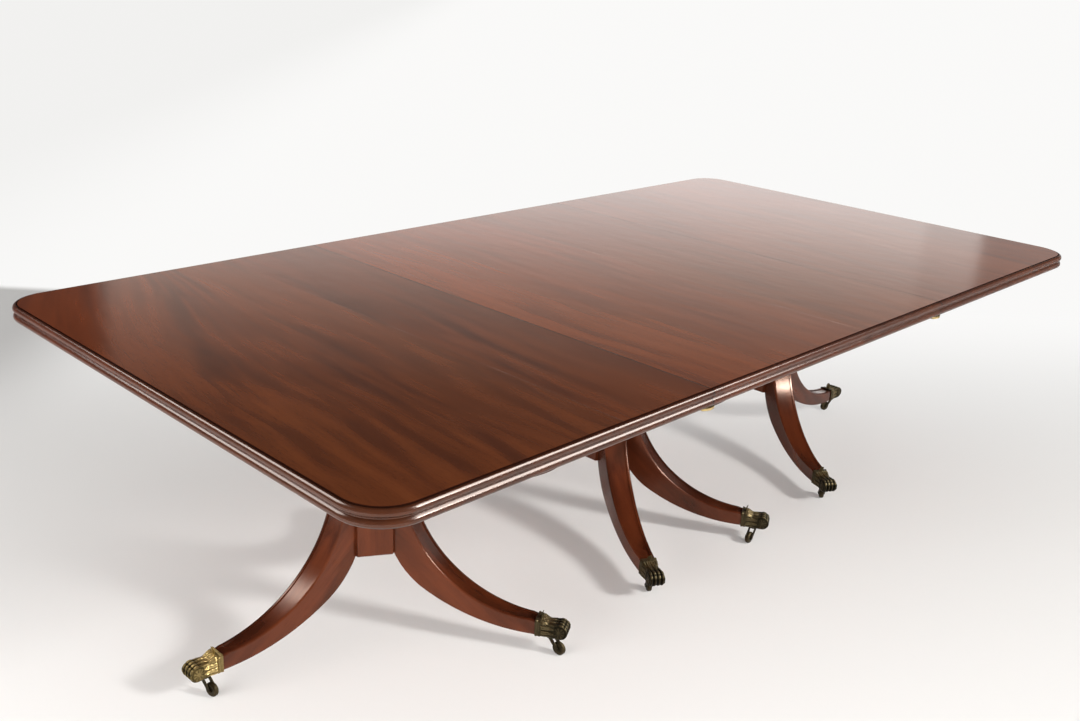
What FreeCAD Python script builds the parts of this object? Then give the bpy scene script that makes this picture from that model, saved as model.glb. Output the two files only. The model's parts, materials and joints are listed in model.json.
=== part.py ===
import FreeCAD, Part
import math
import os

# Triple pedestal dining table. Millimetres, +Z up, floor at zero, origin under the middle of the top.
# +X runs along the table to its far end, -Y is the near long side.

# The table as a whole
table_length = 2706.0
table_width = 1414.0
table_height = 735.0
top_thickness = 39.0
centre_top_length = 985.0
leaf_gap = 0.4
corner_radius = 95.0
end_pedestal_x = 820.0

# Edge moulding: a quirk at the top face, then two reeds with a groove between them
reed_radius = 8.5
reed_crown_drop = 1.3
reed_quirk_angle = 105.0
reed_groove_angle = 50.0
reed_quirk_width = 0.9
reed_groove_depth = 5.8
reed_groove_width = 2.0

# Block on each column and the bearers that straddle it
block_length = 360.0
block_width = 230.0
block_height = 36.0
block_seat_gap = 0.3
block_side_gap = 0.4
block_edge_chamfer = 6.0
bearer_width = 50.0
bearer_depth = 38.0
bearer_end_depth = 16.0
bearer_taper_length = 90.0
end_bearer_inset = 86.0
centre_bearer_inset = 75.0

# Pivots of the tilting tops
pin_radius = 9.0
pin_in_block = 45.0
pin_fixed_clearance = 0.02
pin_running_clearance = 0.06

# Column: six-sided leg block below, turned shaft above
hexagon_apothem = 70.5
hexagon_bottom = 207.0
hexagon_top = 404.0
hexagon_shoulder_rise = 16.0
hexagon_shoulder_radius = 66.0
shaft_ring_radius = 60.0
shaft_ring_height = 20.0
shaft_neck_radius = 33.0
shaft_neck_height_share = 0.096
shaft_vase_radius = 55.0
shaft_vase_height_share = 0.306
shaft_waist_radius = 30.0
shaft_waist_height_share = 0.341
shaft_collar_radius = 47.0
shaft_collar_height = 16.0
shaft_bead_share = 0.33
shaft_neck_bow_share = 0.2
shaft_vase_bow_share = -0.17
shaft_waist_bow_share = 0.10
column_tenon_radius = 28.0
column_tenon_height = 22.0
tenon_clearance = 0.2
drop_radius = 28.0
drop_foot_radius = 18.0
drop_rim = 5.0
drop_height = 13.0

# Sabre leg, drawn outward from the column's axis
leg_root_width = 66.0
leg_toe_width = 36.0
leg_top_z = 392.0
leg_shoulder_reach = 20.0
leg_shoulder_drop = 18.0
leg_straight_start = 404.0
leg_toe_reach = 444.0
leg_toe_top_z = 78.0
leg_toe_bottom_z = 48.5
leg_end_rise = 9.3
leg_end_rise_below = 1.0
leg_knee_share = 0.238
leg_knee_height_share = 0.46
leg_outer_bow_share = 0.188
leg_upper_bow_share = 0.073
leg_lower_bow_share = 0.0632
leg_shoulder_bow_share = 0.15
leg_plan_bow_share = 0.012
leg_arris_radius = 5.0
leg_hollow_margin = 9.0
leg_hollow_depth = 2.5
tongue_neck_width = 20.0
tongue_tail_width = 28.0
tongue_depth = 20.0
tongue_top_drop = 22.0
tongue_clearance = 0.1

# Brass cap castor
cap_mouth_reach = 416.0
cap_tip_reach = 494.0
cap_wall = 3.2
cap_bottom_z = 43.0
cap_toe_radius = 20.0
cap_toe_z = 63.5
cap_toe_width = 43.0
cap_toe_count = 4
cap_toe_scallop = 2.0
cap_toe_blunt = 0.6
cap_top_bow_share = 0.06
cap_waist_share = 0.62
cap_collar_length = 13.0
cap_collar_proud = 2.0
cap_crest_height = 11.0
cap_crest_width = 14.0
cap_crest_length = 13.0
cap_crest_bow_share = 0.12
cap_socket_clearance = 0.15
swivel_reach = 452.0
swivel_pin_radius = 4.0
swivel_pin_length = 15.0
swivel_clearance = 0.05
swivel_head_gap = 0.4
crown_thickness = 3.4
crown_radius = 12.0
wheel_radius = 16.5
wheel_width = 12.0
wheel_edge_slope = 2.5
wheel_hub_radius = 7.0
wheel_hub_width = 13.0
wheel_trail = 24.0
wheel_side_gap = 0.4
axle_radius = 2.5
axle_clearance = 0.05
axle_head = 1.2
cheek_thickness = 2.6
cheek_eye_radius = 6.0

# Brass clips that hold neighbouring tops together, and their keepers
clip_prong_width = 8.0
clip_prong_thickness = 5.0
clip_prong_length = 58.0
clip_prong_spacing = 32.0
clip_bow_width = 7.0
clip_edge_inset = 4.0
clip_clearance = 0.7
keeper_width = 20.0
keeper_length = 38.0
keeper_height = 9.0
keeper_inset = 30.0
keeper_plate = 1.4

# Sprung brass catch under each top, which locks it to its block
catch_block_gap = 9.0
catch_case_length = 48.0
catch_case_width = 20.0
catch_case_height = 17.0
catch_plate_width = 36.0
catch_plate_thickness = 2.0
bolt_radius = 4.0
bolt_clearance = 0.08
bolt_length = 52.0
bolt_drop = 9.5
bolt_travel = 18.0
bolt_tip_stand = 1.0
bolt_knob_radius = 5.0
bolt_knob_height = 7.0
bolt_knob_stem_radius = 2.4
bolt_slot_clearance = 0.3
striker_thickness = 2.0
striker_width = 26.0
striker_above = 7.0
striker_below = 8.0
striker_hole_clearance = 0.5
striker_hole_depth = 16.0

# Worked out from the sizes above
underside_z = table_height - top_thickness
block_top_z = underside_z - block_seat_gap
block_bottom_z = block_top_z - block_height
pivot_z = block_top_z - block_height / 2
pivot_from_column = block_length / 2 - block_height / 2
bolt_z = underside_z - bolt_drop
joint_x = centre_top_length / 2
end_x = table_length / 2
side_y = table_width / 2
hexagon_corner = hexagon_apothem / math.cos(math.pi / 6)
wheel_axle_z = wheel_radius
crown_top_z = cap_bottom_z - swivel_head_gap
crown_bottom_z = crown_top_z - crown_thickness

UP = FreeCAD.Vector(0, 0, 1)
ALONG = FreeCAD.Vector(1, 0, 0)
ACROSS = FreeCAD.Vector(0, 1, 0)
ORIGIN = FreeCAD.Vector(0, 0, 0)


def point(x, y, z):
    return FreeCAD.Vector(x, y, z)


def box(x_low, x_high, y_low, y_high, z_low, z_high):
    return Part.makeBox(x_high - x_low, y_high - y_low, z_high - z_low, point(x_low, y_low, z_low))


def rod(radius, length, start, direction):
    return Part.makeCylinder(radius, length, start, direction)


def line(start, end):
    return Part.LineSegment(start, end).toShape()


def arc(start, middle, end):
    return Part.Arc(start, middle, end).toShape()


def bowed(start, end, share):
    """Arc in the XZ plane, bowed by a share of its chord, to the left of the way it runs if positive."""
    chord = end - start
    middle = (start + end) * 0.5
    return arc(start, middle + point(-chord.z, 0, chord.x) * share, end)


def face(edges):
    return Part.Face(Part.Wire(edges))


def polygon(points):
    return Part.Face(Part.makePolygon(points + [points[0]]))


def turned(shape, angle, centre_x):
    """The shape turned about the upright axis and carried to a pedestal."""
    copy = shape.copy()
    copy.rotate(ORIGIN, UP, angle)
    copy.translate(point(centre_x, 0, 0))
    return copy


def mirrored(shape, normal):
    return shape.mirror(ORIGIN, normal)


def joined(solids):
    return solids[0].multiFuse(solids[1:]).removeSplitter()


def write(name, shapes):
    solids = [solid for shape in shapes for solid in shape.Solids]
    whole = solids[0] if len(solids) == 1 else Part.makeCompound(solids)
    whole.exportStep("parts/" + name + ".step")


# Tops

def edge_profile():
    """Section of the moulded edge in the XZ plane, from the corner's centre out to the corner radius."""
    crown = corner_radius - reed_radius
    upper_z = table_height - reed_crown_drop - reed_radius
    lower_z = underside_z + reed_crown_drop + reed_radius

    def on_reed(centre_z, angle):
        turn = math.radians(angle)
        return point(crown + reed_radius * math.cos(turn), 0, centre_z + reed_radius * math.sin(turn))

    quirk = on_reed(upper_z, reed_quirk_angle)
    groove_u = corner_radius - reed_groove_depth
    groove_z = (upper_z + lower_z) / 2
    top_start = point(0, 0, table_height)
    top_end = point(quirk.x - reed_quirk_width, 0, table_height)
    upper_end = on_reed(upper_z, -reed_groove_angle)
    lower_start = on_reed(lower_z, reed_groove_angle)
    lower_end = on_reed(lower_z, -reed_quirk_angle)
    groove_top = point(groove_u, 0, groove_z + reed_groove_width / 2)
    groove_bottom = point(groove_u, 0, groove_z - reed_groove_width / 2)
    foot_end = point(lower_end.x - reed_quirk_width, 0, underside_z)
    foot_start = point(0, 0, underside_z)
    return face([
        line(top_start, top_end),
        line(top_end, quirk),
        arc(quirk, on_reed(upper_z, 0), upper_end),
        line(upper_end, groove_top),
        line(groove_top, groove_bottom),
        line(groove_bottom, lower_start),
        arc(lower_start, on_reed(lower_z, 0), lower_end),
        line(lower_end, foot_end),
        line(foot_end, foot_start),
        line(foot_start, top_start),
    ])


def side_moulding(x_low, x_high):
    """Moulded strip along the near long side, one corner radius wide."""
    strip = edge_profile()
    strip.rotate(ORIGIN, UP, -90)
    strip.translate(point(x_low, corner_radius - side_y, 0))
    return strip.extrude(point(x_high - x_low, 0, 0))


def end_moulding():
    """Moulded strip along the far end, between the two corners."""
    strip = edge_profile()
    strip.translate(point(end_x - corner_radius, corner_radius - side_y, 0))
    return strip.extrude(point(0, table_width - 2 * corner_radius, 0))


def rounded_corner():
    """Moulded corner at the far end of the near long side."""
    corner = edge_profile().revolve(ORIGIN, UP, -90)
    corner.translate(point(end_x - corner_radius, corner_radius - side_y, 0))
    return corner


def far_end_top():
    inner_y = side_y - corner_radius
    start_x = joint_x + leaf_gap / 2
    panel = box(start_x, end_x - corner_radius, -inner_y, inner_y, underside_z, table_height)
    near_side = side_moulding(start_x, end_x - corner_radius)
    corner = rounded_corner()
    parts = [panel, near_side, mirrored(near_side, ACROSS), end_moulding()]
    return joined(parts + [corner, mirrored(corner, ACROSS)])


def centre_top():
    inner_y = side_y - corner_radius
    end = joint_x - leaf_gap / 2
    panel = box(-end, end, -inner_y, inner_y, underside_z, table_height)
    near_side = side_moulding(-end, end)
    return joined([panel, near_side, mirrored(near_side, ACROSS)])


# Blocks, bearers and pivots

def top_block():
    """Block on a column's tenon, rounded about the pivot at one end, bored for the pins, tenon and bolt."""
    low_x = -pivot_from_column
    high_x = block_length / 2
    half_y = block_width / 2
    body = box(low_x, high_x, -half_y, half_y, block_bottom_z, block_top_z)
    end = rod(block_height / 2, block_width, point(low_x, -half_y, pivot_z), ACROSS)
    slope = polygon([
        point(high_x, -half_y, block_bottom_z),
        point(high_x, -half_y, block_bottom_z + block_edge_chamfer),
        point(high_x - block_edge_chamfer, -half_y, block_bottom_z),
    ]).extrude(point(0, block_width, 0))
    seat = rod(column_tenon_radius + tenon_clearance, column_tenon_height + tenon_clearance,
               point(0, 0, block_bottom_z), UP)
    cuts = [slope, seat, striker_blank()]
    for side in (-1, 1):
        start = point(low_x, side * half_y, pivot_z)
        cuts.append(rod(pin_radius + pin_fixed_clearance, pin_in_block, start, ACROSS * -side))
    cuts.append(rod(bolt_radius + striker_hole_clearance, striker_hole_depth,
                    point(high_x - striker_hole_depth, 0, bolt_z), ALONG))
    return joined([body, end]).cut(Part.makeCompound(cuts))


def striker_blank():
    """Brass plate let into the block's catch end, before its hole is bored."""
    high_x = block_length / 2
    return box(high_x - striker_thickness, high_x, -striker_width / 2, striker_width / 2,
               bolt_z - striker_below, bolt_z + striker_above)


def striker():
    hole = rod(bolt_radius + striker_hole_clearance, striker_hole_depth,
               point(block_length / 2 - striker_hole_depth, 0, bolt_z), ALONG)
    return striker_blank().cut(hole)


def bearer(low_x, high_x, side, pivot_x):
    """One bearer under a top, thinned towards its ends, bored for the pivot pin."""
    bottom_z = underside_z - bearer_depth
    end_z = underside_z - bearer_end_depth
    inner_y = block_width / 2 + block_side_gap
    outline = polygon([
        point(low_x, inner_y, underside_z),
        point(high_x, inner_y, underside_z),
        point(high_x, inner_y, end_z),
        point(high_x - bearer_taper_length, inner_y, bottom_z),
        point(low_x + bearer_taper_length, inner_y, bottom_z),
        point(low_x, inner_y, end_z),
    ])
    rail = outline.extrude(point(0, bearer_width, 0))
    hole = rod(pin_radius + pin_running_clearance, bearer_width + 2 * block_side_gap,
               point(pivot_x, inner_y - block_side_gap, pivot_z), ACROSS)
    rail = rail.cut(hole)
    return rail if side > 0 else mirrored(rail, ACROSS)


def pivot_pins(pivot_x):
    """The two pins of one top: driven into the block, running in the bearers."""
    start_y = block_width / 2 - pin_in_block
    length = pin_in_block + block_side_gap + bearer_width
    pin = rod(pin_radius, length, point(pivot_x, start_y, pivot_z), ACROSS)
    return [pin, mirrored(pin, ACROSS)]


# Columns

def shaft_profile():
    """Half section of the turned shaft, from the leg block up to the tenon in the top block."""
    ring_low = hexagon_top
    ring_high = ring_low + shaft_ring_height
    collar_high = block_bottom_z
    collar_low = collar_high - shaft_collar_height
    turned_height = collar_low - ring_high
    neck = ring_high + turned_height * shaft_neck_height_share
    vase = neck + turned_height * shaft_vase_height_share
    waist = vase + turned_height * shaft_waist_height_share
    ring_in = shaft_ring_radius - shaft_ring_height * shaft_bead_share
    collar_in = shaft_collar_radius - shaft_collar_height * shaft_bead_share
    foot = ring_low - hexagon_shoulder_rise
    tip = collar_high + column_tenon_height
    return face([
        line(point(0, 0, foot), point(ring_in, 0, foot)),
        line(point(ring_in, 0, foot), point(ring_in, 0, ring_low)),
        arc(point(ring_in, 0, ring_low), point(shaft_ring_radius, 0, (ring_low + ring_high) / 2),
            point(ring_in, 0, ring_high)),
        bowed(point(ring_in, 0, ring_high), point(shaft_neck_radius, 0, neck), shaft_neck_bow_share),
        bowed(point(shaft_neck_radius, 0, neck), point(shaft_vase_radius, 0, vase), shaft_vase_bow_share),
        bowed(point(shaft_vase_radius, 0, vase), point(shaft_waist_radius, 0, waist), shaft_waist_bow_share),
        bowed(point(shaft_waist_radius, 0, waist), point(collar_in, 0, collar_low), shaft_neck_bow_share),
        arc(point(collar_in, 0, collar_low), point(shaft_collar_radius, 0, (collar_low + collar_high) / 2),
            point(collar_in, 0, collar_high)),
        line(point(collar_in, 0, collar_high), point(column_tenon_radius, 0, collar_high)),
        line(point(column_tenon_radius, 0, collar_high), point(column_tenon_radius, 0, tip)),
        line(point(column_tenon_radius, 0, tip), point(0, 0, tip)),
        line(point(0, 0, tip), point(0, 0, foot)),
    ])


def leg_block():
    """Six-sided block with its top corners turned down to a round shoulder and a turned drop below."""
    corners = []
    for step in range(6):
        turn = math.radians(60 * step + 30)
        corners.append(point(hexagon_corner * math.cos(turn), hexagon_corner * math.sin(turn),
                             hexagon_bottom))
    prism = polygon(corners).extrude(point(0, 0, hexagon_top - hexagon_bottom))
    shoulder_z = hexagon_top - hexagon_shoulder_rise
    turned_shape = face([
        line(point(0, 0, hexagon_bottom), point(hexagon_corner, 0, hexagon_bottom)),
        line(point(hexagon_corner, 0, hexagon_bottom), point(hexagon_corner, 0, shoulder_z)),
        line(point(hexagon_corner, 0, shoulder_z), point(hexagon_shoulder_radius, 0, hexagon_top)),
        line(point(hexagon_shoulder_radius, 0, hexagon_top), point(0, 0, hexagon_top)),
        line(point(0, 0, hexagon_top), point(0, 0, hexagon_bottom)),
    ]).revolve(ORIGIN, UP, 360)
    drop = face([
        line(point(0, 0, hexagon_bottom), point(0, 0, hexagon_bottom - drop_height)),
        line(point(0, 0, hexagon_bottom - drop_height),
             point(drop_foot_radius, 0, hexagon_bottom - drop_height)),
        line(point(drop_foot_radius, 0, hexagon_bottom - drop_height),
             point(drop_radius, 0, hexagon_bottom - drop_rim)),
        line(point(drop_radius, 0, hexagon_bottom - drop_rim), point(drop_radius, 0, hexagon_bottom)),
        line(point(drop_radius, 0, hexagon_bottom), point(0, 0, hexagon_bottom)),
    ]).revolve(ORIGIN, UP, 360)
    return prism.common(turned_shape).fuse(drop)


def column(leg_angles):
    shaft = shaft_profile().revolve(ORIGIN, UP, 360)
    whole = joined([leg_block(), shaft])
    sockets = [turned(leg_tongue(tongue_clearance), angle, 0) for angle in leg_angles]
    return whole.cut(Part.makeCompound(sockets))


# Legs

def leg_tongue(clearance):
    """Dovetail that slides up into the leg block from below."""
    neck = tongue_neck_width / 2 + clearance
    tail = tongue_tail_width / 2 + clearance
    back = hexagon_apothem - tongue_depth - clearance
    low_z = hexagon_bottom
    plan = polygon([
        point(hexagon_apothem, -neck, low_z),
        point(back, -tail, low_z),
        point(back, tail, low_z),
        point(hexagon_apothem, neck, low_z),
    ])
    return plan.extrude(point(0, 0, leg_top_z - tongue_top_drop - low_z + clearance))


def leg_upper_edges(depth):
    """Upper outline of a leg from its root to its toe; depth sinks it, for the floor of the hollow."""
    shoulder = point(hexagon_apothem + leg_shoulder_reach - depth, 0, leg_top_z - leg_shoulder_drop)
    straight = point(leg_straight_start, 0, leg_toe_top_z + leg_end_rise - depth)
    return [
        bowed(point(hexagon_apothem, 0, leg_top_z), shoulder, leg_shoulder_bow_share),
        bowed(shoulder, straight, -leg_outer_bow_share),
        line(straight, point(leg_toe_reach, 0, leg_toe_top_z - depth)),
    ]


def leg_side(depth):
    """Side outline of a leg: one sweep above, two tangent sweeps below, straight where the cap goes on."""
    root = point(hexagon_apothem, 0, hexagon_bottom)
    straight = point(leg_straight_start, 0, leg_toe_bottom_z + leg_end_rise_below)
    knee = root + point(
        leg_knee_share * (straight.x - root.x), 0, (1 - leg_knee_height_share) * (straight.z - root.z))
    toe_top = point(leg_toe_reach, 0, leg_toe_top_z - depth)
    toe_low = point(leg_toe_reach, 0, leg_toe_bottom_z)
    return face(leg_upper_edges(depth) + [
        line(toe_top, toe_low),
        line(toe_low, straight),
        bowed(straight, knee, leg_lower_bow_share),
        bowed(knee, root, leg_upper_bow_share),
        line(root, point(hexagon_apothem, 0, leg_top_z)),
    ])


def tapered_plan(root_width, toe_width):
    """Upright block, narrowing to the toe with slightly swelled sides, that gives a leg its plan."""
    root_y = root_width / 2
    toe_y = toe_width / 2
    plan = face([
        swelled(point(hexagon_apothem, -root_y, 0), point(leg_toe_reach, -toe_y, 0)),
        line(point(leg_toe_reach, -toe_y, 0), point(leg_toe_reach, toe_y, 0)),
        swelled(point(leg_toe_reach, toe_y, 0), point(hexagon_apothem, root_y, 0)),
        line(point(hexagon_apothem, root_y, 0), point(hexagon_apothem, -root_y, 0)),
    ])
    return plan.extrude(point(0, 0, table_height))


def swelled(start, end):
    """Arc in the XY plane, bowed to the right of the way it runs."""
    chord = end - start
    middle = (start + end) * 0.5
    return arc(start, middle + point(chord.y, -chord.x, 0) * leg_plan_bow_share, end)


def centred(outline, width):
    """The upright outline made into a slab of that width, centred on the XZ plane."""
    slab = outline.extrude(point(0, width, 0))
    slab.translate(point(0, -width / 2, 0))
    return slab


def leg():
    """Sabre leg: rounded arrises, a shallow hollow between them and a dovetail at the root."""
    whole_width = 2 * leg_root_width
    body = centred(leg_side(0), whole_width).common(tapered_plan(leg_root_width, leg_toe_width))
    upper = Part.makeCompound(leg_upper_edges(0)[1:])
    arrises = []
    for edge in body.Edges:
        middle = edge.valueAt((edge.FirstParameter + edge.LastParameter) / 2)
        on_upper = upper.distToShape(Part.Vertex(middle.x, 0, middle.z))[0] < leg_arris_radius / 10
        if on_upper and abs(middle.y) > leg_arris_radius:
            arrises.append(edge)
    body = body.makeFillet(leg_arris_radius, arrises)
    hollow = centred(leg_side(0), whole_width).cut(centred(leg_side(leg_hollow_depth), whole_width))
    strip = tapered_plan(leg_root_width - 2 * leg_hollow_margin, leg_toe_width - 2 * leg_hollow_margin)
    reach = box(hexagon_apothem + leg_shoulder_reach / 2, cap_mouth_reach + cap_collar_length / 2,
                -leg_root_width, leg_root_width, 0, leg_top_z - leg_shoulder_drop)
    body = body.cut(hollow.common(strip).common(reach))
    return joined([body, leg_tongue(0)])


# Cap castors

def socket_solid(clearance):
    """The leg's straight toe, grown by a clearance: the hollow of the cap."""
    start = cap_mouth_reach - cap_collar_length
    slope_top = leg_end_rise / (leg_toe_reach - leg_straight_start)
    slope_low = leg_end_rise_below / (leg_toe_reach - leg_straight_start)
    back = leg_toe_reach - start
    outline = polygon([
        point(start, 0, leg_toe_top_z + slope_top * back + clearance),
        point(leg_toe_reach + clearance, 0, leg_toe_top_z + clearance),
        point(leg_toe_reach + clearance, 0, leg_toe_bottom_z - clearance),
        point(start, 0, leg_toe_bottom_z + slope_low * back - clearance),
    ])
    wide = tapered_plan(leg_root_width + 2 * clearance, leg_toe_width + 2 * clearance)
    beyond = box(leg_toe_reach, leg_toe_reach + clearance, -leg_toe_width / 2, leg_toe_width / 2,
                 leg_toe_bottom_z - clearance, leg_toe_top_z + clearance)
    return centred(outline, leg_root_width).common(wide.fuse(beyond))


def cap():
    """Cast brass box cap: leafy collar with a crest, waisted body and a scalloped toe."""
    toe_x = cap_tip_reach - cap_toe_radius
    waist_x = cap_mouth_reach + cap_waist_share * (toe_x - cap_mouth_reach)
    mouth_back = (leg_toe_reach - cap_mouth_reach) / (leg_toe_reach - leg_straight_start)
    mouth_top_z = leg_toe_top_z + leg_end_rise * mouth_back + cap_wall
    mouth_low_z = leg_toe_bottom_z - cap_wall
    toe_top = point(toe_x, 0, cap_toe_z + cap_toe_radius)
    toe_front = point(cap_tip_reach, 0, cap_toe_z)
    toe_low = point(toe_x, 0, cap_toe_z - cap_toe_radius)
    side = face([
        line(point(cap_mouth_reach, 0, mouth_low_z), point(cap_mouth_reach, 0, mouth_top_z)),
        bowed(point(cap_mouth_reach, 0, mouth_top_z), toe_top, -cap_top_bow_share),
        arc(toe_top, toe_front, toe_low),
        line(toe_low, point(swivel_reach + crown_radius, 0, cap_bottom_z)),
        line(point(swivel_reach + crown_radius, 0, cap_bottom_z),
             point(swivel_reach - crown_radius, 0, cap_bottom_z)),
        line(point(swivel_reach - crown_radius, 0, cap_bottom_z), point(cap_mouth_reach, 0, mouth_low_z)),
    ])
    body = centred(side, cap_toe_width).common(cap_plan(toe_x, waist_x))
    collar_y = leg_toe_width / 2 + cap_wall + cap_collar_proud
    collar = box(cap_mouth_reach, cap_mouth_reach + cap_collar_length, -collar_y, collar_y,
                 mouth_low_z - cap_collar_proud / 2, mouth_top_z + cap_collar_proud / 2)
    crest_x = cap_mouth_reach + cap_collar_length
    crest_z = leg_toe_top_z
    crest_tip = point(crest_x + cap_crest_length / 4, 0, mouth_top_z + cap_crest_height)
    crest_front = point(crest_x + cap_crest_length, 0, crest_z)
    crest_back = point(crest_x - cap_crest_length / 2, 0, crest_z)
    crest = centred(face([
        line(crest_back, crest_front),
        bowed(crest_front, crest_tip, -cap_crest_bow_share),
        bowed(crest_tip, crest_back, cap_crest_bow_share),
    ]), cap_crest_width)
    bore = rod(swivel_pin_radius + swivel_clearance, swivel_pin_length + swivel_head_gap,
               point(swivel_reach, 0, cap_bottom_z), UP)
    whole = joined([body, collar, crest])
    return whole.cut(Part.makeCompound([socket_solid(cap_socket_clearance), bore]))


def cap_plan(toe_x, waist_x):
    """Outline of a cap in plan: tapered body, then a row of scalloped toes."""
    mouth_y = leg_toe_width / 2 + cap_wall
    waist_y = mouth_y - cap_wall / 3
    toe_y = cap_toe_width / 2
    peak_x = cap_tip_reach - cap_toe_blunt
    front_x = peak_x - cap_toe_scallop
    edges = [
        line(point(cap_mouth_reach, mouth_y, 0), point(cap_mouth_reach, -mouth_y, 0)),
        line(point(cap_mouth_reach, -mouth_y, 0), point(waist_x, -waist_y, 0)),
        line(point(waist_x, -waist_y, 0), point(toe_x, -toe_y, 0)),
        line(point(toe_x, -toe_y, 0), point(front_x, -toe_y, 0)),
    ]
    pitch = cap_toe_width / cap_toe_count
    for toe in range(cap_toe_count):
        low_y = -toe_y + toe * pitch
        edges.append(arc(point(front_x, low_y, 0), point(peak_x, low_y + pitch / 2, 0),
                         point(front_x, low_y + pitch, 0)))
    edges.append(line(point(front_x, toe_y, 0), point(toe_x, toe_y, 0)))
    edges.append(line(point(toe_x, toe_y, 0), point(waist_x, waist_y, 0)))
    edges.append(line(point(waist_x, waist_y, 0), point(cap_mouth_reach, mouth_y, 0)))
    return face(edges).extrude(point(0, 0, table_height))


def fork():
    """Swivelling fork under a cap: pin, crown, two cheeks and the axle, trailing along +X from the pin."""
    inner_y = wheel_hub_width / 2 + wheel_side_gap
    outer_y = inner_y + cheek_thickness
    pin = rod(swivel_pin_radius, swivel_pin_length + crown_thickness, point(0, 0, crown_bottom_z), UP)
    crown = rod(crown_radius, crown_thickness, point(0, 0, crown_bottom_z), UP)
    eye_x = wheel_trail
    cheek = face([
        line(point(-crown_radius / 2, inner_y, crown_top_z), point(crown_radius / 2, inner_y, crown_top_z)),
        line(point(crown_radius / 2, inner_y, crown_top_z),
             point(eye_x + cheek_eye_radius, inner_y, wheel_axle_z)),
        arc(point(eye_x + cheek_eye_radius, inner_y, wheel_axle_z),
            point(eye_x, inner_y, wheel_axle_z - cheek_eye_radius),
            point(eye_x - cheek_eye_radius, inner_y, wheel_axle_z)),
        line(point(eye_x - cheek_eye_radius, inner_y, wheel_axle_z),
             point(-crown_radius / 2, inner_y, crown_top_z)),
    ]).extrude(point(0, cheek_thickness, 0))
    bridge = box(-crown_radius / 2, crown_radius / 2, -outer_y, outer_y, crown_bottom_z, crown_top_z)
    axle_y = outer_y + axle_head
    axle = rod(axle_radius, 2 * axle_y, point(eye_x, -axle_y, wheel_axle_z), ACROSS)
    return joined([crown, pin, bridge, cheek, mirrored(cheek, ACROSS), axle])


def wheel():
    """Solid brass wheel with a sloped rim and a raised hub, bored for the axle."""
    half = wheel_width / 2
    hub = wheel_hub_width / 2
    flat = wheel_radius - wheel_edge_slope
    tread = half - wheel_edge_slope
    bore = axle_radius + axle_clearance
    section = face([
        line(point(bore, 0, -hub), point(wheel_hub_radius, 0, -hub)),
        line(point(wheel_hub_radius, 0, -hub), point(wheel_hub_radius, 0, -half)),
        line(point(wheel_hub_radius, 0, -half), point(flat, 0, -half)),
        line(point(flat, 0, -half), point(wheel_radius, 0, -tread)),
        line(point(wheel_radius, 0, -tread), point(wheel_radius, 0, tread)),
        line(point(wheel_radius, 0, tread), point(flat, 0, half)),
        line(point(flat, 0, half), point(wheel_hub_radius, 0, half)),
        line(point(wheel_hub_radius, 0, half), point(wheel_hub_radius, 0, hub)),
        line(point(wheel_hub_radius, 0, hub), point(bore, 0, hub)),
        line(point(bore, 0, hub), point(bore, 0, -hub)),
    ])
    disc = section.revolve(ORIGIN, UP, 360)
    disc.rotate(ORIGIN, ALONG, 90)
    disc.translate(point(wheel_trail, 0, wheel_axle_z))
    return disc


# Clips between the tops

def clip(joint, side):
    """Two-pronged brass clip pushed in from the edge, one prong under each top."""
    bow_y = side_y - clip_edge_inset
    root_y = bow_y - clip_bow_width
    high_z = underside_z - keeper_plate
    low_z = high_z - clip_prong_thickness
    outer_x = clip_prong_spacing / 2 + clip_prong_width / 2
    inner_x = clip_prong_spacing / 2 - clip_prong_width / 2
    tip_y = root_y - clip_prong_length
    outline = face([
        line(point(-outer_x, root_y, low_z), point(-outer_x, tip_y, low_z)),
        line(point(-outer_x, tip_y, low_z), point(-inner_x, tip_y, low_z)),
        line(point(-inner_x, tip_y, low_z), point(-inner_x, root_y, low_z)),
        line(point(-inner_x, root_y, low_z), point(inner_x, root_y, low_z)),
        line(point(inner_x, root_y, low_z), point(inner_x, tip_y, low_z)),
        line(point(inner_x, tip_y, low_z), point(outer_x, tip_y, low_z)),
        line(point(outer_x, tip_y, low_z), point(outer_x, root_y, low_z)),
        arc(point(outer_x, root_y, low_z), point(0, bow_y, low_z), point(-outer_x, root_y, low_z)),
    ])
    shape = outline.extrude(point(0, 0, clip_prong_thickness))
    shape.translate(point(joint, 0, 0))
    return shape if side > 0 else mirrored(shape, ACROSS)


def keeper(joint, end, side, closed):
    """Brass channel for one prong; the closed one carries the clip, the open one lets its top lift off."""
    centre_x = joint + end * clip_prong_spacing / 2
    high_y = side_y - keeper_inset
    low_y = high_y - keeper_length
    low_z = underside_z - keeper_height
    slot_x = clip_prong_width / 2 + clip_clearance
    slot_high = underside_z - keeper_plate + block_seat_gap
    slot_low = slot_high - clip_prong_thickness - 2 * block_seat_gap if closed else low_z
    body = box(centre_x - keeper_width / 2, centre_x + keeper_width / 2, low_y, high_y, low_z, underside_z)
    slot = box(centre_x - slot_x, centre_x + slot_x, low_y, high_y, slot_low, slot_high)
    shape = body.cut(slot)
    return shape if side > 0 else mirrored(shape, ACROSS)


# Catches that lock the tops down

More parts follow.
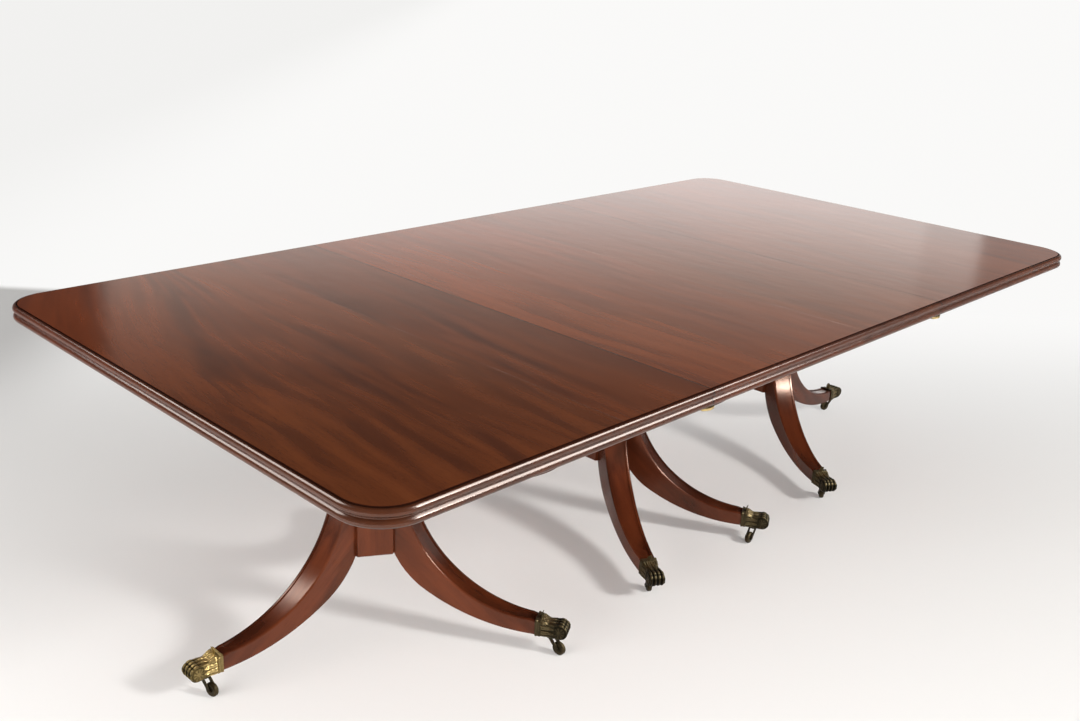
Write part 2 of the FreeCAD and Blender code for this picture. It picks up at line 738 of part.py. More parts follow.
def catch_case():
    """Case of the sprung bolt, screwed under the top beside the block's catch end."""
    low_x = block_length / 2 + catch_block_gap
    high_x = low_x + catch_case_length
    low_z = underside_z - catch_case_height
    body = box(low_x, high_x, -catch_case_width / 2, catch_case_width / 2, low_z, underside_z)
    plate = box(low_x, high_x, -catch_plate_width / 2, catch_plate_width / 2,
                underside_z - catch_plate_thickness, underside_z)
    bore = rod(bolt_radius + bolt_clearance, catch_case_length, point(low_x, 0, bolt_z), ALONG)
    stem_x = bolt_stem_x()
    reach = bolt_knob_stem_radius + bolt_slot_clearance
    slot = box(stem_x - bolt_travel - reach, stem_x + reach, -reach, reach, low_z, bolt_z)
    return joined([body, plate]).cut(Part.makeCompound([bore, slot]))


def bolt_stem_x():
    return block_length / 2 + catch_block_gap + bolt_travel + (catch_case_length - bolt_travel) / 2


def bolt():
    """Catch bolt with its thumb knob, drawn back so that its top is free to tilt."""
    low_x = block_length / 2 + catch_block_gap - bolt_tip_stand
    shank = rod(bolt_radius, bolt_length, point(low_x, 0, bolt_z), ALONG)
    stem_x = bolt_stem_x()
    knob_top = underside_z - catch_case_height - bolt_slot_clearance
    stem = rod(bolt_knob_stem_radius, bolt_z - knob_top, point(stem_x, 0, knob_top), UP)
    knob = rod(bolt_knob_radius, bolt_knob_height, point(stem_x, 0, knob_top - bolt_knob_height), UP)
    return joined([shank, stem, knob])


# Assembly: which way each leg points, and how its castor trails at rest

pedestals = {
    "near": (-end_pedestal_x, 1, {"end": 180, "front": 300, "back": 60}),
    "centre": (0, 1, {"front_near": 240, "front_far": 300, "back_near": 120, "back_far": 60}),
    "far": (end_pedestal_x, -1, {"end": 0, "front": 240, "back": 120}),
}
castor_trails = {
    "near_end": 100, "near_front": 338, "near_back": 195,
    "centre_front_near": 172, "centre_front_far": 250, "centre_back_near": 200, "centre_back_far": 165,
    "far_end": 168, "far_front": 158, "far_back": 176,
}


def bearer_ends(name, inboard):
    if name == "centre":
        half = joint_x - centre_bearer_inset
        return -half, half
    return sorted((-inboard * (joint_x + end_bearer_inset), -inboard * (end_x - end_bearer_inset)))


def on_swivel(shape, centre_x, leg_angle, trail):
    """A castor's fork or wheel, turned to trail that way from the leg and carried under its cap."""
    reach = math.radians(leg_angle)
    placed = shape.copy()
    placed.rotate(ORIGIN, UP, leg_angle + trail)
    placed.translate(point(centre_x + swivel_reach * math.cos(reach), swivel_reach * math.sin(reach), 0))
    return placed


def main():
    os.makedirs("parts", exist_ok=True)
    far_top = far_end_top()
    write("far_end_top", [far_top])
    write("near_end_top", [mirrored(far_top, ALONG)])
    write("centre_top", [centre_top()])

    sabre_leg = leg()
    castor_cap = cap()
    castor_fork = fork()
    castor_wheel = wheel()
    pins = []
    strikers = []
    for name, (centre_x, inboard, legs) in pedestals.items():
        facing = 0 if inboard > 0 else 180
        pivot_x = centre_x - inboard * pivot_from_column
        write(name + "_column", [turned(column(legs.values()), 0, centre_x)])
        write(name + "_top_block", [turned(top_block(), facing, centre_x)])
        write(name + "_catch_case", [turned(catch_case(), facing, centre_x)])
        write(name + "_catch_bolt", [turned(bolt(), facing, centre_x)])
        pins += pivot_pins(pivot_x)
        strikers.append(turned(striker(), facing, centre_x))
        low_x, high_x = bearer_ends(name, inboard)
        write(name + "_bearers", [bearer(low_x, high_x, side, pivot_x) for side in (-1, 1)])
        caps = []
        for place, angle in legs.items():
            key = name + "_" + place
            write(name + "_leg_" + place, [turned(sabre_leg, angle, centre_x)])
            caps.append(turned(castor_cap, angle, centre_x))
            write(key + "_fork", [on_swivel(castor_fork, centre_x, angle, castor_trails[key])])
            write(key + "_wheel", [on_swivel(castor_wheel, centre_x, angle, castor_trails[key])])
        write(name + "_castor_caps", caps)
    write("pivot_pins", pins)
    write("catch_strikers", strikers)

    for label, joint in (("near", -joint_x), ("far", joint_x)):
        outward = -1 if label == "near" else 1
        write(label + "_clip_front", [clip(joint, -1)])
        write(label + "_clip_back", [clip(joint, 1)])
        write(label + "_clip_keepers", [keeper(joint, outward, side, False) for side in (-1, 1)])
    closed = [keeper(joint, end, side, True)
              for joint, end in ((-joint_x, 1), (joint_x, -1)) for side in (-1, 1)]
    write("centre_clip_keepers", closed)


main()
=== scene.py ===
import json
import math

import bmesh
import bpy
from mathutils import Matrix, Vector


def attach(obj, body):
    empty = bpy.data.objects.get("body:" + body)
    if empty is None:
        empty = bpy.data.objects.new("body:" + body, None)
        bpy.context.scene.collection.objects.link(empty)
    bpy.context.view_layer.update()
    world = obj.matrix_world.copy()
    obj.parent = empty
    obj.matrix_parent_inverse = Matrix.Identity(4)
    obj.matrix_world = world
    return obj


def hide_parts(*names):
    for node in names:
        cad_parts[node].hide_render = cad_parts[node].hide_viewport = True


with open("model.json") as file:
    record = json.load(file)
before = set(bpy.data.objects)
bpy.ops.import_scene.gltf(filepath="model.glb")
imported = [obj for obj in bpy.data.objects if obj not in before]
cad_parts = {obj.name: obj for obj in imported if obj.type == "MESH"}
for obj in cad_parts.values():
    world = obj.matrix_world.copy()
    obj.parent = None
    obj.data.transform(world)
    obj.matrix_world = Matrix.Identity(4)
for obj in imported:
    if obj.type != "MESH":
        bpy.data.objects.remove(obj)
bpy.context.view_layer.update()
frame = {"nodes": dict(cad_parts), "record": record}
print("frame loaded:", len(frame["nodes"]), "nodes")

# where the photograph was taken from
view = {
    "place": (-2.2898, -1.9435, 1.5700),
    "headingDegrees": 43.911,
    "dropDegrees": 20.166,
    "rollDegrees": 2.798,
    "lens": 38.119,
}

# the sizes that the scene shares with the solids
table = {
    "pedestals": {"near": -0.820, "centre": 0.0, "far": 0.820},
    "legs": {
        "near": {"end": 180, "front": 300, "back": 60},
        "centre": {"front_near": 240, "front_far": 300, "back_near": 120, "back_far": 60},
        "far": {"end": 0, "front": 240, "back": 120},
    },
    "jointX": 0.4925,
    "endX": 1.353,
    "sideY": 0.707,
    "topZ": 0.735,
    "undersideZ": 0.696,
}


# Wiring of materials and of geometry trees

class Wire:
    # one socket, with arithmetic that adds its Math nodes
    def __init__(self, wiring, socket):
        self.wiring = wiring
        self.socket = socket

    def apply(self, operation, *others):
        return self.wiring.reckon(operation, self, *others)

    def __add__(self, other):
        return self.apply("ADD", other)

    def __sub__(self, other):
        return self.apply("SUBTRACT", other)

    def __rsub__(self, other):
        return self.wiring.reckon("SUBTRACT", other, self)

    def __mul__(self, other):
        return self.apply("MULTIPLY", other)

    __radd__ = __add__
    __rmul__ = __mul__

    def clamped(self):
        return self.apply("MINIMUM", 1).apply("MAXIMUM", 0)


class Wiring:
    # adds nodes to one tree and gives their sockets values or links
    def __init__(self, tree):
        self.nodes = tree.nodes
        self.links = tree.links

    def add(self, kind, settings=None, sockets=None, output=0):
        node = self.nodes.new(kind)
        for name, value in (settings or {}).items():
            if name == "stops":
                self.fillRamp(node.color_ramp, value)
            else:
                setattr(node, name, value)
        for key, value in (sockets or {}).items():
            self.fill(node.inputs[key], value)
        return Wire(self, node.outputs[output])

    def fill(self, socket, value):
        if isinstance(value, Wire):
            self.links.new(value.socket, socket)
        else:
            socket.default_value = value

    def fillRamp(self, ramp, stops):
        while len(ramp.elements) < len(stops):
            ramp.elements.new(0.5)
        for element, (place, colour) in zip(ramp.elements, stops):
            element.position = place
            element.color = (*colour, 1)

    def reckon(self, operation, *values):
        return self.add("ShaderNodeMath", {"operation": operation}, dict(enumerate(values)))


class Paint(Wiring):
    # the nodes of one material, or of the world
    def __init__(self, owner):
        owner.use_nodes = True
        super().__init__(owner.node_tree)
        self.owner = owner
        self.nodes.clear()

    def ramp(self, factor, stops):
        return self.add("ShaderNodeValToRGB", {"stops": stops}, {"Fac": factor}, "Color")

    def step(self, value, low, high, toLow=0.0, toHigh=1.0):
        return self.add("ShaderNodeMapRange", {"interpolation_type": "SMOOTHSTEP"},
                        {"Value": value, "From Min": low, "From Max": high,
                         "To Min": toLow, "To Max": toHigh}, "Result")

    def mixed(self, factor, first, second, blend="MIX"):
        node = self.nodes.new("ShaderNodeMix")
        node.data_type = "RGBA"
        node.blend_type = blend
        for number, value in ((0, factor), (6, first), (7, second)):
            self.fill(node.inputs[number], (*value, 1) if isinstance(value, tuple) else value)
        return Wire(self, node.outputs[2])

    def objectPlace(self):
        return self.add("ShaderNodeTexCoord", output="Object")

    def axis(self, vector, number):
        return self.add("ShaderNodeSeparateXYZ", {}, {0: vector}, number)

    def attribute(self, name, output="Fac"):
        return self.add("ShaderNodeAttribute", {"attribute_name": name}, output=output)

    def ray(self, kind):
        return self.add("ShaderNodeLightPath", output=kind)

    def vector(self, operation, first, second, output=0):
        return self.add("ShaderNodeVectorMath", {"operation": operation}, {0: first, 1: second}, output)

    def scaled(self, vector, factor):
        return self.add("ShaderNodeVectorMath", {"operation": "SCALE"}, {0: vector, "Scale": factor})

    def noise(self, vector, scale, detail, rough=0.5):
        return self.add("ShaderNodeTexNoise", {"noise_dimensions": "3D"},
                        {"Vector": vector, "Scale": scale, "Detail": detail, "Roughness": rough}, "Fac")

    def stretched(self, vector, scale, move=(0, 0, 0)):
        return self.add("ShaderNodeMapping", {"vector_type": "POINT"},
                        {"Vector": vector, "Scale": scale, "Location": move}, "Vector")

    def grained(self, vector, scale, detail, rough=0.5, move=(0, 0, 0)):
        # a noise with its own scale along each axis
        return self.noise(self.stretched(vector, scale, move), 1.0, detail, rough)

    def warped(self, vector, scale, amount):
        # pushes a pattern's coordinates about by a slow noise, amounts in metres
        noise = self.add("ShaderNodeTexNoise", {},
                         {"Vector": self.stretched(vector, scale), "Detail": 2.0, "Scale": 1.0}, "Color")
        centred = self.vector("SUBTRACT", noise, (0.5, 0.5, 0.5))
        return self.vector("ADD", vector, self.vector("MULTIPLY", centred, amount))

    def bump(self, height, distance, strength=0.35):
        return self.add("ShaderNodeBump", {},
                        {"Height": height, "Strength": strength, "Distance": distance}, "Normal")

    def finish(self, shader, kind="Material"):
        output = self.nodes.new("ShaderNodeOutput" + kind)
        self.links.new(shader.socket, output.inputs["Surface"])
        return self.owner


def darker(colour, share):
    return tuple(c * share for c in colour)


# Polished mahogany: the grain attribute holds metres along the grain, across it and through it

mahogany = {
    "top": {
        "dark": (0.052, 0.0140, 0.0078), "middle": (0.108, 0.0275, 0.0092),
        "light": (0.146, 0.0395, 0.0118), "varnish": (1.0, 0.86, 0.78), "flames": 0.60, "streaks": 0.36,
        "flecks": 0.20, "fine": 0.20, "length": 1.0, "roughness": 0.10, "wave": 0.0003,
    },
    "base": {
        "dark": (0.015, 0.0036, 0.0020), "middle": (0.037, 0.0080, 0.0032),
        "light": (0.074, 0.0165, 0.0056), "varnish": (1.0, 0.70, 0.56), "flames": 0.50, "streaks": 0.50,
        "flecks": 0.25, "fine": 0.35, "length": 1.6, "roughness": 0.19, "wave": 0.0006,
    },
    "bearer": {
        "dark": (0.085, 0.036, 0.019), "middle": (0.165, 0.075, 0.038),
        "light": (0.250, 0.125, 0.066), "varnish": (1.0, 0.86, 0.78), "flames": 0.25, "streaks": 0.45,
        "flecks": 0.10, "fine": 0.6, "length": 1.4, "roughness": 0.62, "wave": 0.0004,
    },
}

# the layers of the figure: scale along, across and through the grain, detail, roughness, shift
figure = {
    "drift": ((0.9, 2.6, 2.6), 3.0),
    "patches": ((2.0, 8.5, 8.5), 3.0, 0.5, (3.1, 0, 0)),
    "strands": ((2.6, 30, 30), 3.0, 0.5, (7.7, 2, 0)),
    "flecks": ((8.0, 62, 62), 3.0, 0.55, (1.2, 5, 0)),
    "fine": ((12.0, 420.0, 420.0), 3.0, 0.6),
    "pores": ((60.0, 1700.0, 1700.0), 1.0),
    "swell": ((9.0, 24.0, 24.0), 2.0),
    "wear": ((5, 8, 8), 4.0, 0.6),
    "planing": ((40.0, 4.0, 4.0), 1.0),
}

# how the layers bend the grain, and where each begins to show
flow = {
    "broadScale": (1.1, 2.2, 2.2), "broadPush": (0.16, 0.11, 0.11),
    "closeScale": (7.0, 9.0, 9.0), "closePush": (0.020, 0.012, 0.012),
    "driftShare": 0.78, "strandShare": 0.22, "warmFrom": (0.34, 0.66),
    "patchFrom": (0.38, 0.66), "flameFrom": (0.66, 0.32), "fleckFrom": (0.54, 0.72),
    "poreFrom": (0.62, 0.70), "poreShare": 0.35, "poreTone": 0.4, "poreDepth": 0.02,
    # the share and tone of the moulding's painted shade, a tone that the dark seams also take
    "soilShare": 0.92, "soilTone": 0.15,
}

polish = {
    "wear": 0.06, "crownFrom": (0.5, 0.7), "crownDull": 0.11, "raw": 0.50, "rawWear": 0.15,
    # where the dark matt shader of painted shade takes over in the quirks, and how dark it is
    "waxFrom": (0.87, 0.97), "waxTone": 0.3,
}

# the boards of the tops: clouds are x, y, width, length and depth of a darker or lighter place
boards = {
    "bendStart": -0.1, "bend": 0.29, "bendEnds": (-1.05, -0.80),
    "calmFrom": (-0.80, -0.45), "calm": 0.30,
    "clouds": [
        (-1.12, -0.22, 0.22, 0.40, 0.16), (-0.66, -0.52, 0.15, 0.26, 0.14),
        (-0.04, -0.28, 0.16, 0.50, 0.10), (0.32, -0.20, 0.10, 0.40, 0.08),
        (-0.86, -0.20, 0.12, 0.30, -0.12), (-1.02, 0.30, 0.16, 0.30, 0.07),
    ],
    "first": (1.0, 1.0, 1.0),
    "next": [
        (-0.760, (0.94, 0.86, 0.88)), (-0.4925, (1.42, 1.30, 1.35)), (0.106, (1.28, 1.25, 1.35)),
        (0.4925, (1.40, 1.38, 1.50)), (0.900, (1.46, 1.42, 1.50)),
    ],
    "shift": (1.7, 0.9, 0.4), "edge": 0.0003,
    # the top is painted lighter and redder toward the back: painted light
    "fadeFrom": (-0.50, 0.65), "faded": (1.45, 1.12, 0.95),
    "glueLine": (0.0009, 0.4), "openJoint": (0.0034, 0.8), "seamCore": 0.4,
    "unpolished": (0.6963, 0.6972),
}


def boardPattern(paint):
    # which board a point lies on: a number that shifts the figure, a tint with painted light toward the
    # back, and the dark seams
    place = paint.objectPlace()
    x, y = (paint.axis(place, number) for number in (0, 1))
    index, tint, seam = 0.0, boards["first"], 0.0
    for at, board in boards["next"]:
        past = paint.step(x, at - boards["edge"], at + boards["edge"])
        index = past + index
        tint = paint.mixed(past, tint, board)
        jointed = abs(abs(at) - table["jointX"]) < 0.001
        width, depth = boards["openJoint"] if jointed else boards["glueLine"]
        core = width * boards["seamCore"]
        seam = paint.step((x - at).apply("ABSOLUTE"), core, width, depth, 0.0) + seam
    # painted light: lighter and redder toward the back edge
    litBack = paint.mixed(paint.step(y, *boards["fadeFrom"]), (1, 1, 1), boards["faded"])
    along = (y - boards["bendStart"]).clamped()
    bend = along * along * boards["bend"] * paint.step(x, *boards["bendEnds"], 1.0, 0.0)
    calm = paint.step(x, *boards["calmFrom"], 0.0, boards["calm"])
    cloud = 0.0
    for cloudX, cloudY, width, length, depth in boards["clouds"]:
        fromX, fromY = (x - cloudX) * (1 / width), (y - cloudY) * (1 / length)
        cloud = paint.step(fromX * fromX + fromY * fromY, 0.0, 1.0, depth, 0.0) + cloud
    return index, paint.mixed(1.0, tint, litBack, "MULTIPLY"), seam, bend, calm, cloud


def mahoganyPaint(name, values, polished=True, boarded=False):
    paint = Paint(bpy.data.materials.new(name))

    def layer(kind, place, along=1.0, across=1.0):
        (x, y, z), *rest = figure[kind]
        return paint.grained(place, (x * along, y * across, z * across), *rest)

    grain = paint.attribute("grain", "Vector")
    hollow = paint.attribute("hollow")
    seam, cloud = 0.0, 0.0
    if boarded:
        index, tint, seam, bend, calm, cloud = boardPattern(paint)
        bent = paint.add("ShaderNodeCombineXYZ", {}, {1: bend * -1})
        grain = paint.vector("ADD", grain, bent)
        grain = paint.vector("ADD", grain, paint.scaled(boards["shift"], index))
    long = values["length"]
    broad = paint.warped(grain, flow["broadScale"], flow["broadPush"])
    close = paint.warped(broad, flow["closeScale"], flow["closePush"])
    drift, patches = (layer(kind, broad, long, long) for kind in ("drift", "patches"))
    strands, flecks = (layer(kind, close, long) for kind in ("strands", "flecks"))
    fine, pores = (layer(kind, grain) for kind in ("fine", "pores"))

    warmth = paint.step(flow["driftShare"] * drift + flow["strandShare"] * strands, *flow["warmFrom"])
    colour = paint.mixed(warmth, values["middle"], values["light"])
    gathered = paint.step(patches + cloud, *flow["patchFrom"])
    dark = gathered * paint.step(strands, *flow["flameFrom"]) * values["flames"]
    flecked = paint.step(flecks, *flow["fleckFrom"]) * gathered * values["flecks"]
    colour = paint.mixed((dark + flecked).clamped(), colour, values["dark"])
    shade = 1 + (strands - 0.5) * (values["streaks"] * 2) + (fine - 0.5) * values["fine"]
    colour = paint.scaled(colour, shade)
    if boarded:
        colour = paint.mixed(calm, colour, values["middle"])
        colour = paint.mixed(1.0, colour, tint, "MULTIPLY")
    inPores = paint.step(pores, *flow["poreFrom"]) * flow["poreShare"]
    colour = paint.mixed(inPores, colour, darker(values["dark"], flow["poreTone"]))
    # painted shade in the moulding, together with the dark glue lines and open joints
    soil = hollow * flow["soilShare"] + seam
    colour = paint.mixed(soil.clamped(), colour, darker(values["dark"], flow["soilTone"]))

    if polished:
        height = layer("swell", grain) - pores * flow["poreDepth"]
        crowns = paint.step(hollow, *polish["crownFrom"]) * polish["crownDull"]
        rough = values["roughness"] + polish["wear"] * (layer("wear", grain) - 0.5) + crowns
        if boarded:
            # the underside was never polished
            lift = paint.axis(paint.objectPlace(), 2)
            rough = rough + paint.step(lift, *boards["unpolished"], polish["raw"], 0.0)
    else:
        height = layer("planing", grain) * 0.6 + fine * 0.4
        rough = values["roughness"] + polish["rawWear"] * (fine - 0.5)
    waves = paint.bump(height, values["wave"])
    shader = paint.add("ShaderNodeBsdfPrincipled", {},
                       {"Base Color": colour, "Normal": waves, "Roughness": rough, "IOR": 1.5,
                        "Specular Tint": (*values["varnish"], 1)}, "BSDF")
    # the quirks get a dark matt shader with no shine: painted shade
    waxTone = (*darker(values["dark"], polish["waxTone"]), 1)
    mattShade = paint.add("ShaderNodeBsdfDiffuse", {}, {"Color": waxTone}, "BSDF")
    fill = paint.step(hollow, *polish["waxFrom"])
    return paint.finish(paint.add("ShaderNodeMixShader", {}, {0: fill, 1: shader, 2: mattShade}))


# Aged brass: the relief attribute is 0 in hollows and 1 on what hands and floors rub bright

brass = {
    "castor": {"bright": (0.185, 0.145, 0.076), "dull": (0.046, 0.037, 0.021),
               "soot": (0.009, 0.008, 0.005), "roughness": 0.38, "soil": 0.80},
    "wheel": {"bright": (0.150, 0.115, 0.062), "dull": (0.034, 0.027, 0.016),
              "soot": (0.008, 0.006, 0.004), "roughness": 0.44, "soil": 0.80},
    "fitting": {"bright": (0.72, 0.55, 0.26), "dull": (0.46, 0.34, 0.15), "soot": (0.10, 0.07, 0.03),
                "roughness": 0.30, "soil": 0.4},
}

# the cap at the near end is coloured brighter than the other caps
nearFootTones = {"bright": (0.600, 0.455, 0.195), "dull": (0.200, 0.148, 0.060),
              "soot": (0.026, 0.020, 0.010), "endX": (-1.20, -1.16), "low": (0.038, 0.046)}

patina = {
    "blotch": (60.0, 4.0, 0.6), "speck": (420.0, 3.0, 0.6), "scratch": ((900.0, 900.0, 120.0), 2.0),
    "reliefShare": 0.9, "blotchShare": 0.7, "dullAt": 0.42, "brightAt": 0.9,
    "soilFrom": (0.50, 0.64), "roughHollows": 0.30, "roughSpecks": 0.15, "pits": 0.0004,
}


def wornTones(paint, worn, tones):
    places = (0.0, patina["dullAt"], patina["brightAt"])
    return paint.ramp(worn, list(zip(places, (tones["soot"], tones["dull"], tones["bright"]))))


def brassPaint(name, values, nearFoot=None):
    paint = Paint(bpy.data.materials.new(name))
    place = paint.objectPlace()
    relief = paint.attribute("relief")
    blotch, speck = (paint.noise(place, *patina[kind]) for kind in ("blotch", "speck"))
    scratch = paint.grained(place, *patina["scratch"])
    worn = (relief * patina["reliefShare"] + (blotch - 0.5) * patina["blotchShare"]).clamped()
    colour = wornTones(paint, worn, values)
    if nearFoot:
        x, z = (paint.axis(place, number) for number in (0, 2))
        # the cap at the near end takes the brighter tones
        atNearFoot = paint.step(x, *nearFoot["endX"], 1.0, 0.0) * paint.step(z, *nearFoot["low"])
        colour = paint.mixed(atNearFoot, colour, wornTones(paint, worn, nearFoot))
    soil = paint.step(blotch * 0.6 + speck * 0.4, *patina["soilFrom"]) * values["soil"]
    colour = paint.mixed(soil * (1.15 - worn).clamped(), colour, values["soot"])
    rough = values["roughness"] + patina["roughHollows"] * (1 - worn)
    rough = rough + patina["roughSpecks"] * (speck - 0.5)
    pitted = paint.bump(speck * 0.6 + scratch * 0.4, patina["pits"])
    shader = paint.add("ShaderNodeBsdfPrincipled", {},
                       {"Base Color": colour, "Metallic": 1.0, "Roughness": rough.clamped(),
                        "Normal": pitted}, "BSDF")
    return paint.finish(shader)


topWood = mahoganyPaint("mahoganyTop", mahogany["top"], boarded=True)
baseWood = mahoganyPaint("mahoganyBase", mahogany["base"])
bearerWood = mahoganyPaint("mahoganyBearer", mahogany["bearer"], polished=False)
castorBrass = brassPaint("castorBrass", brass["castor"], nearFootTones)
wheelBrass = brassPaint("wheelBrass", brass["wheel"])
fittingBrass = brassPaint("fittingBrass", brass["fitting"])
print("materials made")


# Pieces taken over from the frame, welded and smoothed

weld = {"distance": 2e-6, "flatDegrees": 0.3, "flatWeight": 60}


def smooth(low, high, value):
    t = min(max((value - low) / (high - low), 0.0), 1.0)
    return t * t * (3 - 2 * t)


def bodyOf(node):
    for body, members in frame["record"]["behaviour"]["bodies"].items():
        if node in members:
            return body
    raise ValueError(node)


def slotOf(node):
    for row in frame["record"]["subparts"]:
        if row["node"] == node:
            return row["material_slot"]
    raise ValueError(node)


def addObject(name, data):
    piece = bpy.data.objects.new(name, data)
    bpy.context.scene.collection.objects.link(piece)
    return piece


def meshFrom(work, name):
    mesh = bpy.data.meshes.new(name)
    work.to_mesh(mesh)
    work.free()
    return mesh


def settle(piece, *nodes):
    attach(piece, bodyOf(nodes[0]))
    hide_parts(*nodes)
    slotOf(nodes[0])


def weldedCopy(node, name, paint, sharpDegrees):
    work = bmesh.new()
    work.from_mesh(frame["nodes"][node].data)
    bmesh.ops.remove_doubles(work, verts=work.verts, dist=weld["distance"])
    bmesh.ops.dissolve_limit(work, angle_limit=math.radians(weld["flatDegrees"]), verts=work.verts,
                             edges=work.edges)
    for face in work.faces:
        face.smooth = True
    for edge in work.edges:
        paired = len(edge.link_faces) == 2
        edge.smooth = paired and edge.calc_face_angle() < math.radians(sharpDegrees)
    mesh = meshFrom(work, name)
    if "custom_normal" in mesh.attributes:
        mesh.attributes.remove(mesh.attributes["custom_normal"])
    mesh.materials.clear()
    mesh.materials.append(paint)
    piece = addObject(name, mesh)
    settle(piece, node)
    return piece


def keepNormals(piece):
    modifier = piece.modifiers.new("weigh", "WEIGHTED_NORMAL")
    modifier.keep_sharp = True
    modifier.weight = weld["flatWeight"]


def writeAttribute(mesh, name, kind, values, domain="POINT"):
    attribute = mesh.attributes.new(name, kind, domain)
    if kind == "FLOAT":
        attribute.data.foreach_set("value", values)
    else:
        attribute.data.foreach_set("vector", [c for v in values for c in v])


def writeGrain(piece, rule, hollow=None):
    mesh = piece.data
    writeAttribute(mesh, "grain", "FLOAT_VECTOR", [rule(v.co) for v in mesh.vertices])
    values = [0.0] * len(mesh.loops)
    # the small faces of the moulding carry how dark it is painted: painted shade, and old polish on the
    # crowns
    if hollow:
        for face in mesh.polygons:
            if face.area < moulding["largestFace"]:
                for corner in face.loop_indices:
                    values[corner] = hollow(mesh.vertices[mesh.loops[corner].vertex_index].co)
    writeAttribute(mesh, "hollow", "FLOAT", values, "CORNER")


def writeRelief(piece, level, ends=0.0):
    # one level all over, brighter by ends where a face looks up or down
    mesh = piece.data
    writeAttribute(mesh, "relief", "FLOAT", [level + ends * abs(v.normal.z) for v in mesh.vertices])


# The three tops: grain runs across the table

# the crown and groove levels set how dark the reeds' crowns and the groove are painted: painted shade,
# on the crowns partly old polish
moulding = {
    "cornerRadius": 0.095, "reedRadius": 0.0085, "crownDrop": 0.0013, "quirk": 0.0005, "reach": 1.6,
    "crownTone": 0.76, "grooveTone": 0.84, "largestFace": 0.02,
    "upperQuirk": (76, 97), "upperGroove": (-4, -42), "lowerGroove": (44, 54), "lowerQuirk": (-20, -62),
}


def topGrain(co):
    # the boards' grain lies a few degrees off the joints
    return (co.y + 0.10 * co.x, co.x - 0.05 * co.y, co.z)


def inFromEdge(co):
    # how far inside the outline of the whole table a point lies
    radius = moulding["cornerRadius"]
    alongIn = table["endX"] - abs(co.x)
    acrossIn = table["sideY"] - abs(co.y)
    if alongIn < radius and acrossIn < radius:
        return radius - math.hypot(radius - alongIn, radius - acrossIn)
    return min(alongIn, acrossIn)


def mouldShadeAt(co):
    # how dark the moulding is painted: 0 on the flat, darker on a reed's crown for old polish and
    # painted shade, darker still with painted shade in the groove, 1 in the quirks
    top, underside, radius = table["topZ"], table["undersideZ"], moulding["reedRadius"]
    inside = inFromEdge(co)
    if inside > radius * moulding["reach"]:
        return 0.0
    if not underside + moulding["quirk"] < co.z < top - moulding["quirk"]:
        return 1.0
    crown, groove = moulding["crownTone"], moulding["grooveTone"]
    if co.z > (top + underside) / 2:
        reed, centre = "upper", top - moulding["crownDrop"] - radius
    else:
        reed, centre = "lower", underside + moulding["crownDrop"] + radius
    turn = math.degrees(math.atan2(co.z - centre, radius - inside))
    inQuirk = (1 - crown) * smooth(*moulding[reed + "Quirk"], turn)
    inGroove = (groove - crown) * smooth(*moulding[reed + "Groove"], turn)
    return crown + max(inQuirk, inGroove)


for node in ("near_end_top", "centre_top", "far_end_top"):
    top = weldedCopy(node, node.replace("_", "") + "Polished", topWood, sharpDegrees=40)
    writeGrain(top, topGrain, mouldShadeAt)
    keepNormals(top)
print("tops done")


# Legs, columns, blocks and bearers

legFigure = {"slope": 40, "next": 1.3, "across": 0.37, "through": 0.71, "bearerShift": 0.5}


def legGrain(centreX, angle, seed):
    # the grain runs down each leg's slope, and no two legs show the same figure
    turn = Matrix.Rotation(-math.radians(angle), 3, "Z")
    level = Matrix.Rotation(math.radians(legFigure["slope"]), 3, "Y").inverted()

    def rule(co):
        local = level @ (turn @ (co - Vector((centreX, 0, 0))))
        across, through = seed * legFigure["across"], seed * legFigure["through"]
        return (local.x + seed, local.y + across, local.z + through)
    return rule


seed = 0.0
for section, legs in table["legs"].items():
    centreX = table["pedestals"][section]
    for place, angle in legs.items():
        seed += legFigure["next"]
        node = f"{section}_leg_{place}"
        leg = weldedCopy(node, node.replace("_", "") + "Sabre", baseWood, sharpDegrees=40)
        writeGrain(leg, legGrain(centreX, angle, seed))
        keepNormals(leg)
    column = weldedCopy(f"{section}_column", section + "TurnedColumn", baseWood, sharpDegrees=35)
    writeGrain(column, lambda co, x=centreX: (co.z, co.x - x, co.y))
    keepNormals(column)
    block = weldedCopy(f"{section}_top_block", section + "PivotBlock", bearerWood, sharpDegrees=30)
    writeGrain(block, lambda co: tuple(co))
    bearers = weldedCopy(f"{section}_bearers", section + "BearerPair", bearerWood, sharpDegrees=30)
    writeGrain(bearers, lambda co: (co.x, co.y + legFigure["bearerShift"], co.z))
print("legs, columns and bearers done")


# Lion-paw caps: a loft from the socket's mouth to the toes, in the leg's own frame, then modelled

